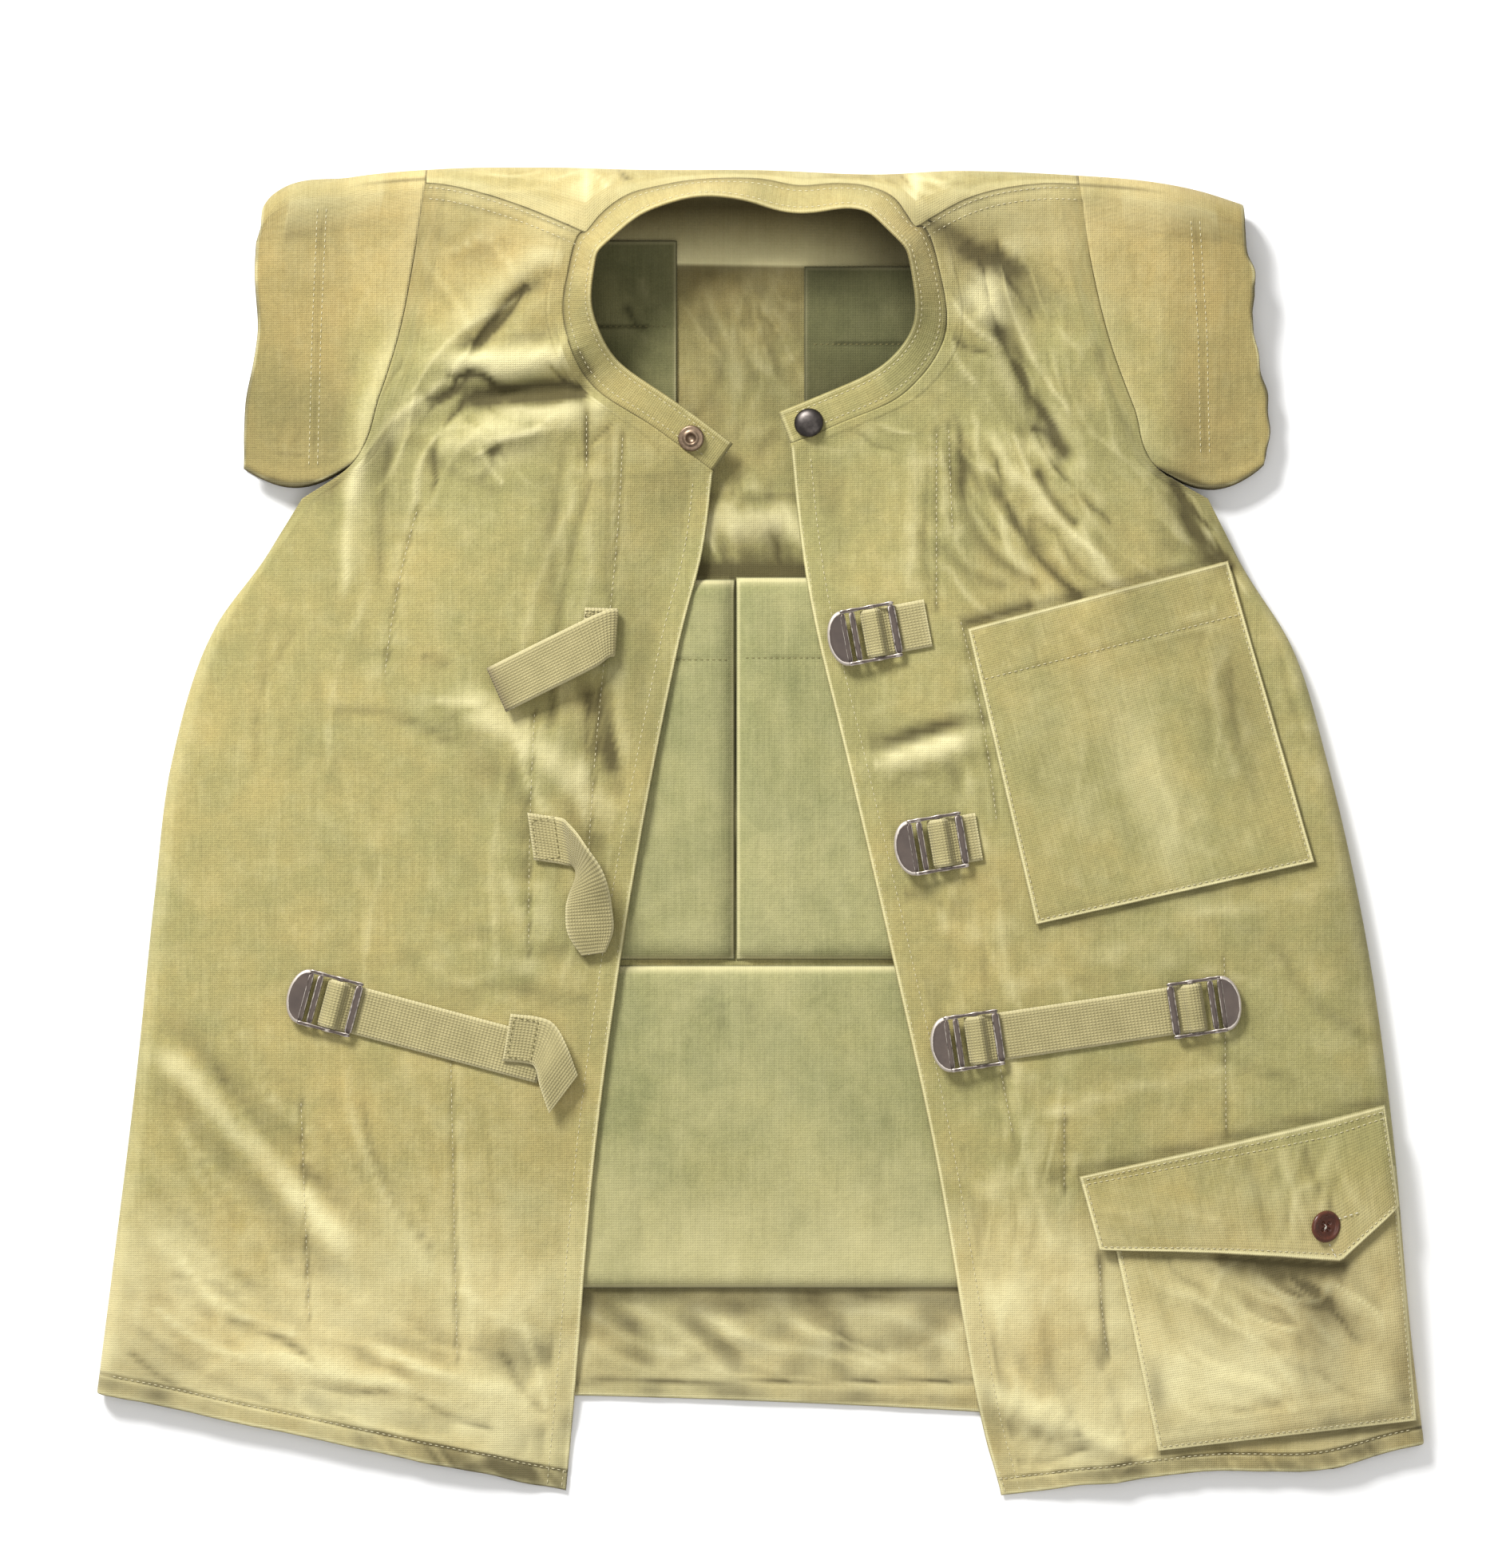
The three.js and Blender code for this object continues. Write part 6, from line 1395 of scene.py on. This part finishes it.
def addNode(tree, kind, inputs=None, give=0, **settings):
    # one node with its settings; an input is a value or the socket that feeds it, and give names the output
    # wanted
    node = tree.nodes.new(kind)
    for key, value in settings.items():
        setattr(node, key, value)
    for key, value in (inputs or {}).items():
        if isinstance(value, bpy.types.NodeSocket):
            tree.links.new(value, node.inputs[key])
        else:
            node.inputs[key].default_value = value
    return node.outputs[give]


def newMaterial(name, **values):
    # a material whose shader has these constant values
    material = bpy.data.materials.new(name)
    material.use_nodes = True
    tree = material.node_tree
    shader = tree.nodes["Principled BSDF"]
    for key, value in values.items():
        shader.inputs[key.replace("_", " ")].default_value = value
    return material, tree, shader


def layered(tree, start, terms):
    # start plus each noise, which varies about a half, times its weight
    half = sum(weight for _, weight in terms) / 2
    total = addNode(tree, "ShaderNodeMath", {0: start, 1: half}, operation="SUBTRACT")
    for socket, weight in terms:
        total = addNode(tree, "ShaderNodeMath", {0: socket, 1: weight, 2: total}, operation="MULTIPLY_ADD")
    return total


def tinted(tree, colour, layers):
    # one colour over another in turn, each by its share
    for share, hue in layers:
        colour = addNode(tree, "ShaderNodeMix", {0: share, 6: colour, 7: hue}, 2, data_type="RGBA")
    return colour


def wovenCotton(name, hues, threadPitch, slub, bumpDepth):
    # plain woven cotton, washed and faded: matt, flecked, with slubs down the warp, pale on folds and on crests
    # as a painted highlight, darkened by dirt and painted shade
    material, tree, shader = newMaterial(
        name, Roughness=0.93, Specular_IOR_Level=0.18, Sheen_Weight=0.08, Sheen_Roughness=0.6)
    uv = addNode(tree, "ShaderNodeUVMap", uv_map="cloth")
    downWarp = addNode(tree, "ShaderNodeMapping", {"Vector": uv, "Scale": (1, 0.05, 1)})
    # each noise: where, its size in mm, detail, roughness
    noises = {
        "cloud": (uv, 40, 4.0, 0.6), "mottle": (uv, 3.4, 4.0, 0.65), "fleck": (uv, 1.0, 2.0, 0.7),
        "streak": (downWarp, 1.5, 3.0, 0.6), "scuff": (uv, 11, 8.0, 0.74), "uneven": (uv, 7, 5.0, 0.55),
    }
    cloud, mottle, fleck, streak, scuff, uneven = (
        addNode(tree, "ShaderNodeTexNoise", {
            "Vector": at, "Scale": 1 / size, "Detail": detail, "Roughness": rough})
        for at, size, detail, rough in noises.values())
    wornAndLit, soiledAndShaded, yellow = (
        addNode(tree, "ShaderNodeAttribute", None, "Fac", attribute_name=key)
        for key in ("wornAndLit", "soiledAndShaded", "yellow"))
    colour = tinted(tree, srgb(hues["olive"]), [(layered(tree, yellow, [(cloud, 1.3)]), srgb(hues["khaki"]))])
    tone = layered(tree, 1.0, [(streak, slub * 2), (fleck, 0.55), (mottle, 0.3), (cloud, 0.36)])
    colour = addNode(
        tree, "ShaderNodeMix", {0: 1.0, 6: colour, 7: tone}, 2, data_type="RGBA", blend_type="MULTIPLY")
    # the pale share is wear and painted highlight, the dark share dirt and painted shade
    rubbedAndLit = layered(tree, wornAndLit, [(scuff, 0.55), (streak, 0.22)])
    bleachedAndLit, stainedAndShaded = (
        addNode(tree, "ShaderNodeMath", {0: socket, 1: 0.85}, operation="MULTIPLY")
        for socket in (rubbedAndLit, soiledAndShaded))
    colour = tinted(tree, colour, [(bleachedAndLit, srgb(hues["pale"])), (stainedAndShaded, srgb(hues["shade"]))])
    tree.links.new(colour, shader.inputs["Base Color"])
    scale = 2 * math.pi / 20 / threadPitch
    warp, weft = (
        addNode(tree, "ShaderNodeTexWave", {
            "Vector": uv, "Scale": scale, "Distortion": 1.5, "Detail Scale": 0.4}, "Fac", bands_direction=way)
        for way in "XY")
    weave = addNode(tree, "ShaderNodeMath", {0: warp, 1: weft}, operation="MULTIPLY")
    height = layered(tree, 0.0, [(weave, 0.35), (uneven, 1.3), (fleck, 0.28), (streak, 0.18)])
    bump = addNode(tree, "ShaderNodeBump", {"Height": height, "Strength": 0.85, "Distance": bumpDepth * mm})
    tree.links.new(bump, shader.inputs["Normal"])
    return material


def cottonWebbing(name):
    # flat woven cotton webbing: ribs across and along, flecked, pale where worn and brown where singed
    material, tree, shader = newMaterial(name, Roughness=0.88, Sheen_Weight=0.1)
    uv = addNode(tree, "ShaderNodeUVMap", uv_map="cloth")
    fleck, cloud = (
        addNode(tree, "ShaderNodeTexNoise", {"Vector": uv, "Scale": 1 / size, "Detail": detail})
        for size, detail in ((0.9, 2.0), (14, 3.0)))
    scale = 2 * math.pi / 20 / webbing["pitch"]
    ribs = [
        addNode(tree, "ShaderNodeTexWave", {
            "Vector": uv, "Scale": scale * finer, "Distortion": uneven}, "Fac", bands_direction=way)
        for way, finer, uneven in (("X", 1.0, 0.6), ("Y", 0.8, 0.8))]
    along, across = (addNode(tree, "ShaderNodeMath", {0: rib, 1: 0.3}, operation="ADD") for rib in ribs)
    weave = addNode(tree, "ShaderNodeMath", {0: along, 1: across}, operation="MULTIPLY")
    colour = tinted(tree, srgb("#8d8459"), [(cloud, srgb("#b3a878"))])
    tone = layered(tree, 0.95, [(weave, 0.2), (fleck, 0.5)])
    colour = addNode(
        tree, "ShaderNodeMix", {0: 1.0, 6: colour, 7: tone}, 2, data_type="RGBA", blend_type="MULTIPLY")
    wornAndLit, soiledAndShaded = (
        addNode(tree, "ShaderNodeAttribute", None, "Fac", attribute_name=key) for key in ("wornAndLit", "soiledAndShaded"))
    colour = tinted(tree, colour, [(wornAndLit, srgb("#ddd3a6")), (soiledAndShaded, srgb("#3f2b1a"))])
    tree.links.new(colour, shader.inputs["Base Color"])
    bump = addNode(tree, "ShaderNodeBump", {"Height": weave, "Strength": 0.7, "Distance": 0.4 * mm})
    tree.links.new(bump, shader.inputs["Normal"])
    return material


def sewingThread(name, colour):
    # spun cotton thread: matt, with twisted plies too fine to show, so only flecks
    material, tree, shader = newMaterial(name, Roughness=0.8)
    place = addNode(tree, "ShaderNodeTexCoord", None, "Object")
    fleck = addNode(tree, "ShaderNodeTexNoise", {"Vector": place, "Scale": 900.0, "Detail": 1.0})
    dark = tuple(c * 0.62 for c in srgb(colour)[:3]) + (1.0,)
    tree.links.new(tinted(tree, dark, [(fleck, srgb(colour))]), shader.inputs["Base Color"])
    return material


def lacqueredSteel(name):
    # pressed steel in dark brown lacquer, rubbed through to bright metal along its edges
    material, tree, shader = newMaterial(name, Metallic=0.65)
    place = addNode(tree, "ShaderNodeTexCoord", None, "Object")
    patch = addNode(tree, "ShaderNodeTexNoise", {"Vector": place, "Scale": 420.0, "Detail": 4.0})
    wide = addNode(tree, "ShaderNodeTexNoise", {"Vector": place, "Scale": 90.0, "Detail": 2.0})
    wornAndLit = addNode(tree, "ShaderNodeAttribute", None, "Fac", attribute_name="wornAndLit")
    rubbedAndLit = layered(tree, 1.175, [(wornAndLit, 1.25), (patch, 1.1)])
    bare = addNode(tree, "ShaderNodeMapRange", {"Value": rubbedAndLit, "From Min": 1.02, "From Max": 1.3})
    colour = tinted(tree, srgb("#453d3a"), [(wide, srgb("#63574f")), (bare, srgb("#c9bfb4"))])
    tree.links.new(colour, shader.inputs["Base Color"])
    rough = addNode(tree, "ShaderNodeMapRange", {"Value": patch, "To Min": 0.3, "To Max": 0.5})
    tree.links.new(rough, shader.inputs["Roughness"])
    bump = addNode(tree, "ShaderNodeBump", {"Height": patch, "Strength": 0.25, "Distance": 0.1 * mm})
    tree.links.new(bump, shader.inputs["Normal"])
    return material


def mottled(name, dark, light, size, swirl, **values):
    # a small fastening in two shades, blotched or swirled: tarnished metal, or moulded plastic
    material, tree, shader = newMaterial(name, **values)
    place = addNode(tree, "ShaderNodeTexCoord", None, "Object")
    patch = addNode(tree, "ShaderNodeTexNoise", {
        "Vector": place, "Scale": 1 / size, "Detail": 3.0, "Distortion": swirl})
    tree.links.new(tinted(tree, srgb(dark), [(patch, srgb(light))]), shader.inputs["Base Color"])
    return material


def axesAlong(normal):
    # three axes at right angles, the last along the normal
    axis = np.array(normal, float) / np.linalg.norm(normal)
    side = np.cross([0, 1, 0], axis)
    side /= np.linalg.norm(side)
    return np.stack([side, np.cross(axis, side), axis])


def roundPiece(name, profile, centre, normal, dents=(), around=64):
    # a profile of radius and height turned round an axis; dents press round pits into its upper face
    profile = np.array(profile, float)
    a = np.linspace(0, 2 * np.pi, around, endpoint=False)[None, :]
    r, h = profile[:, :1], profile[:, 1:]
    x, y = r * np.cos(a), r * np.sin(a)
    z = h + 0 * a
    for dx, dy, wide, deep in dents:
        z = z - deep * np.exp(-((np.hypot(x - dx, y - dy) / wide) ** 6))
    local = np.stack([x, y, z], axis=-1).reshape(-1, 3)
    points = local @ axesAlong(normal) + np.array(centre)
    place = np.arange(len(profile) * around).reshape(len(profile), around)
    nxt = np.roll(place, -1, axis=1)
    faces = np.stack([place[:-1], nxt[:-1], nxt[1:], place[1:]], axis=-1).reshape(-1, 4)
    caps = [place[0][::-1].tolist(), place[-1].tolist()]
    return outwards(makePiece(name, points, faces.tolist() + caps))


print("materials")
shellCloth = wovenCotton("olive cotton", panelHues, 1.1, 0.12, 0.5)
innerCloth = wovenCotton("pocketing cotton", {
    "olive": "#88885b", "khaki": "#a49c6a", "pale": "#cbc393", "shade": "#24230f"}, 1.2, 0.12, 0.4)
tape = cottonWebbing("cotton webbing")
steel = lacqueredSteel("lacquered steel")
capMetal = mottled("blackened brass", "#262322", "#56504c", 0.002, 0.0, Metallic=0.85, Roughness=0.35)
socketMetal = mottled("tarnished brass", "#4e3b2c", "#a58f78", 0.002, 0.0, Metallic=0.85, Roughness=0.42)
buttonStuff = mottled("button plastic", "#341a11", "#6a3825", 1 / 260, 1.5, Roughness=0.3, IOR=1.5)
khakiThread = sewingThread("khaki thread", "#e2d9b2")
darkThread = sewingThread("dark thread", "#8a8252")
paleThread = sewingThread("pale thread", "#f4efe0")


def finish(piece, material, slot, *nodes):
    # its material, and what it rides on and stands for
    piece.data.materials.append(material)
    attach(piece, "root")
    if nodes:
        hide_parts(*nodes)
    return piece


floorCorners = [(x, y, -0.05) for x, y in ((-2500, -2500), (2500, -2500), (2500, 2500), (-2500, 2500))]
floor = makePiece("studio_floor", np.array(floorCorners), [[0, 1, 2, 3]])
paper, paperTree, paperShader = newMaterial("white paper", Roughness=0.9)
place = addNode(paperTree, "ShaderNodeTexCoord", None, "Object")
grain = addNode(paperTree, "ShaderNodeTexNoise", {"Vector": place, "Scale": 30.0, "Detail": 2.0})
paperTree.links.new(
    tinted(paperTree, srgb("#fdfdfd"), [(grain, srgb("#ffffff"))]), paperShader.inputs["Base Color"])
floor.data.materials.append(paper)

print("panels")
finish(backSheet("back_panel"), shellCloth, "shell_cloth", "back")
finish(frontSheet("right_front_panel", right), shellCloth, "shell_cloth", "right_front")
finish(frontSheet("left_front_panel", left), shellCloth, "shell_cloth", "left_front")
for name, spec in sleeves.items():
    finish(sleeveSheet(name + "_cap", spec), shellCloth, "shell_cloth", name)
finish(collarSheet("collar_band"), shellCloth, "shell_cloth", "collar")

print("inner pockets")
innerPieces = {name: finish(innerPocket(name, spec), innerCloth, "inner_cloth", name)
               for name, spec in innerPockets.items()}

print("outer pockets")
for name, spec in laidPieces.items():
    finish(patchSheet(name, spec), shellCloth, "shell_cloth", spec["node"])

print("webbing")
loops = {name: loopRows(name, spec) for name, spec in buckles.items()}
sideLoop = [(x, y, lift, across - 180) for x, y, lift, across in loops["buckle_side_left"]][::-1]
strapRows = {
    "strap_upper_left": loops["buckle_upper_left"],
    "strap_middle_left": loops["buckle_middle_left"],
    "strap_side_left": loops["buckle_lower_left"] + sideLoop[1:],
    "strap_side_right": loops["buckle_side_right"],
    **freeStraps,
}
strapPieces = {name: finish(ribbonPiece(name + "_web", rows), tape, "webbing", name)
               for name, rows in strapRows.items()}

print("fastenings")
for name, spec in buckles.items():
    finish(buckleMesh(name, spec), steel, "buckle_metal", name)


def middleOf(node):
    # the middle of a node's box
    low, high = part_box(node)
    return np.array([(a + b) / 2 / mm for a, b in zip(low, high)])


buttonAt = np.array([281.5, -196.5, float(flapPoint(np.array([0.75]), np.array([0.26]))[0, 2]) + 1.0])
buttonFaces = (0.42, -0.1, 0.9)
button = finish(roundPiece("four_hole_button", [
    (0.05, 0), (5, 0), (7.2, 0.1), (7.9, 0.7), (8.1, 1.5), (7.8, 2.3), (7.1, 2.75), (6.4, 2.8), (5.9, 2.4),
    (5.5, 1.9),
    (5.0, 1.7), (4.4, 1.65), (3.8, 1.65), (3.3, 1.65), (2.9, 1.65), (2.5, 1.65), (2.1, 1.65), (1.7, 1.65),
    (1.3, 1.65),
    (0.9, 1.65), (0.5, 1.65), (0.1, 1.65),
], buttonAt, buttonFaces, [(dx, dy, 1.0, 1.1) for dy in (1.6, -1.6) for dx in (1.6, -1.6)]),
    buttonStuff, "button_plastic", "flap_button")
capAt, socketAt = middleOf("snap_cap"), middleOf("snap_socket")
finish(roundPiece("snap_dome", [
    (0.05, -1.2), (6.8, -1.2), (7.3, -0.7), (7.4, -0.2), (7.0, 0.5), (6.2, 1.0), (4.8, 1.5), (3, 1.8),
    (0.1, 1.9)],
    capAt, (-0.16, 0.12, 1)), capMetal, "snap_cap_metal", "snap_cap")
finish(roundPiece("snap_ring", [
    (0.05, -0.9), (6.2, -0.9), (6.6, -0.4), (6.4, 0.3), (5.6, 0.8), (4.6, 0.5), (4.0, 0.7), (3.3, 1.3),
    (2.7, 1.2),
    (2.2, 0.6), (2.0, -0.4), (0.1, -0.5)], socketAt, (-0.1, -0.1, 1)),
    socketMetal, "snap_socket_metal", "snap_socket")

print("sewing")
shoulderEnds = {right: (-166, -90), left: (80, 158)}


def frontRuns(side):
    # two lines up the front edge, one along the hem, two below the shoulder seam and the quilted lines of
    # this side, but not those of its sleeve
    runs = [frontEdgeRun(side, inset) for inset in (2.2, 9.5)] + [hemRun(side, 9.5)]
    runs += [quiltRun(*row) for row in quiltLines
             if row[0] * side.sign > 0 and (abs(row[0]) < 210 or row[1] < 0)]
    return runs + [shoulderRun(*shoulderEnds[side], below) for below in (2.4, 8.0)]


def patchRuns(spec):
    # up the two sides and along the foot of a laid piece, 2.4 mm in, and across it at each sewn height
    t = np.linspace(0, 1, 260)
    point, down = spec["point"], spec["down"]
    a, b = 2.4 / spec["across"], 2.4 / down
    runs = [point(u + 0 * t, mix(b, 1 - b, t)) for u in (a, 1 - a)]
    runs += [point(mix(a, 1 - a, t), v + 0 * t) for v in [b] + [up / down for up in spec["sewn"]]]
    return [run + [0, 0, 0.1] for run in runs]


bandLines, _ = collarGrid(neckSeam(), np.array([0.2, 0.8]))
sewing = {
    "right_front_panel": (frontRuns(right), khakiThread),
    "left_front_panel": (frontRuns(left), khakiThread),
    **{name: (patchRuns(spec), khakiThread) for name, spec in laidPieces.items()},
    "strap_top_right_web": ([boxRun(-84, 100.4, 20, 9, -6, laidStrap + 0.15)], darkThread),
    "strap_middle_right_web": ([boxRun(-107.5, -3.2, 20, 11, 8, laidStrap + 0.15)], darkThread),
    "strap_low_right_web": ([boxRun(-119, -103.4, 20, 12, -11, laidStrap + 2.4)], darkThread),
    "collar_band": ([line[4:-4] + [0, 0, 0.15] for line in bandLines], khakiThread),
}
for name, path in sleeveLines.items():
    sewing[name] = ([lineRun(path, shift) for shift in (-2.2, 2.2)], khakiThread)
riders = {}
for name, (runs, material) in sewing.items():
    slot = "webbing" if "strap" in name else "shell_cloth"
    riders[name] = [finish(stitchPiece(name + "_stitches", runs), material, slot)]
buttonholeLines = [((287.6, -193.2), (299, -189.6)), ((283.4, -204.6), (287.5, -212.5))]


def flapRun(start, end):
    # a straight line over the flap
    t = np.linspace(0, 1, 40)
    x, y = mix(start[0], end[0], t), mix(start[1], end[1], t)
    share = np.interp(x, [232, 290], [0.42, 0.79])
    rise = (y - flapFootY(share)) / (flapY(share) - flapFootY(share))
    return np.stack([x, y, flapPoint(share, rise)[:, 2] + 0.5], axis=-1)


def buttonRun(start, end):
    # a thread from hole to hole over the button's well
    t = np.linspace(0, 1, 9)[:, None]
    local = mix(np.array([*start, 1.6]), np.array([*end, 1.6]), t) + [0, 0, 0.5] * np.sin(np.pi * t)
    return local @ axesAlong(buttonFaces) + buttonAt


crossed = [((-1.6, shift - 1.6), (1.6, shift + 1.6)) for shift in (-0.3, 0.3)] + [((-1.6, 1.6), (1.6, -1.6))]
flapRuns = [flapRun(*ends) for ends in buttonholeLines] + [buttonRun(*ends) for ends in crossed]
sewnFlap = finish(stitchPiece("buttonhole_threads", flapRuns), paleThread, "shell_cloth")
riders["pointed_flap"] += [button, sewnFlap]
for name, spec in innerPockets.items():
    x = np.linspace(spec["x0"] + 4, spec["x1"] - 4, 200)
    runs = [pocketLine(spec, x, lineY) for lineY in spec["rows"]]
    if runs:
        riders[name + "_patch"] = [finish(stitchPiece(name + "_stitches", runs), darkThread, "inner_cloth")]

print("light and camera")
world = bpy.data.worlds.new("studio")
bpy.context.scene.world = world
world.use_nodes = True
world.node_tree.nodes["Background"].inputs["Color"].default_value = (1, 0.99, 0.97, 1)
world.node_tree.nodes["Background"].inputs["Strength"].default_value = 0.46
lights = {
    "window": {"at": (-1100, 1700, 1500), "size": 700, "watts": 90},
    "overhead": {"at": (150, -200, 2400), "size": 1600, "watts": 14},
}
for name, spec in lights.items():
    lamp = bpy.data.lights.new(name, "AREA")
    lamp.size = spec["size"] * mm
    lamp.energy = spec["watts"]
    holder = bpy.data.objects.new(name, lamp)
    at = np.array(spec["at"]) * mm
    holder.location = at
    away = -at / np.linalg.norm(at)
    holder.rotation_euler = (math.acos(-away[2]), 0, math.atan2(away[1], away[0]) - math.pi / 2)
    bpy.context.scene.collection.objects.link(holder)

view = {"centre": (-5.8, 24.2, 12.0), "tall": 785.6, "lens": 150.0, "film": 36.0}
camera = bpy.data.cameras.new("camera")
camera.lens = view["lens"]
camera.sensor_width = view["film"]
distance = view["tall"] * view["lens"] / view["film"]
camera.clip_end = 20.0
eye = bpy.data.objects.new("camera", camera)
eye.location = (view["centre"][0] * mm, view["centre"][1] * mm, (view["centre"][2] + distance) * mm)
bpy.context.scene.collection.objects.link(eye)
bpy.context.scene.camera = eye
bpy.context.scene.view_settings.view_transform = "Standard"
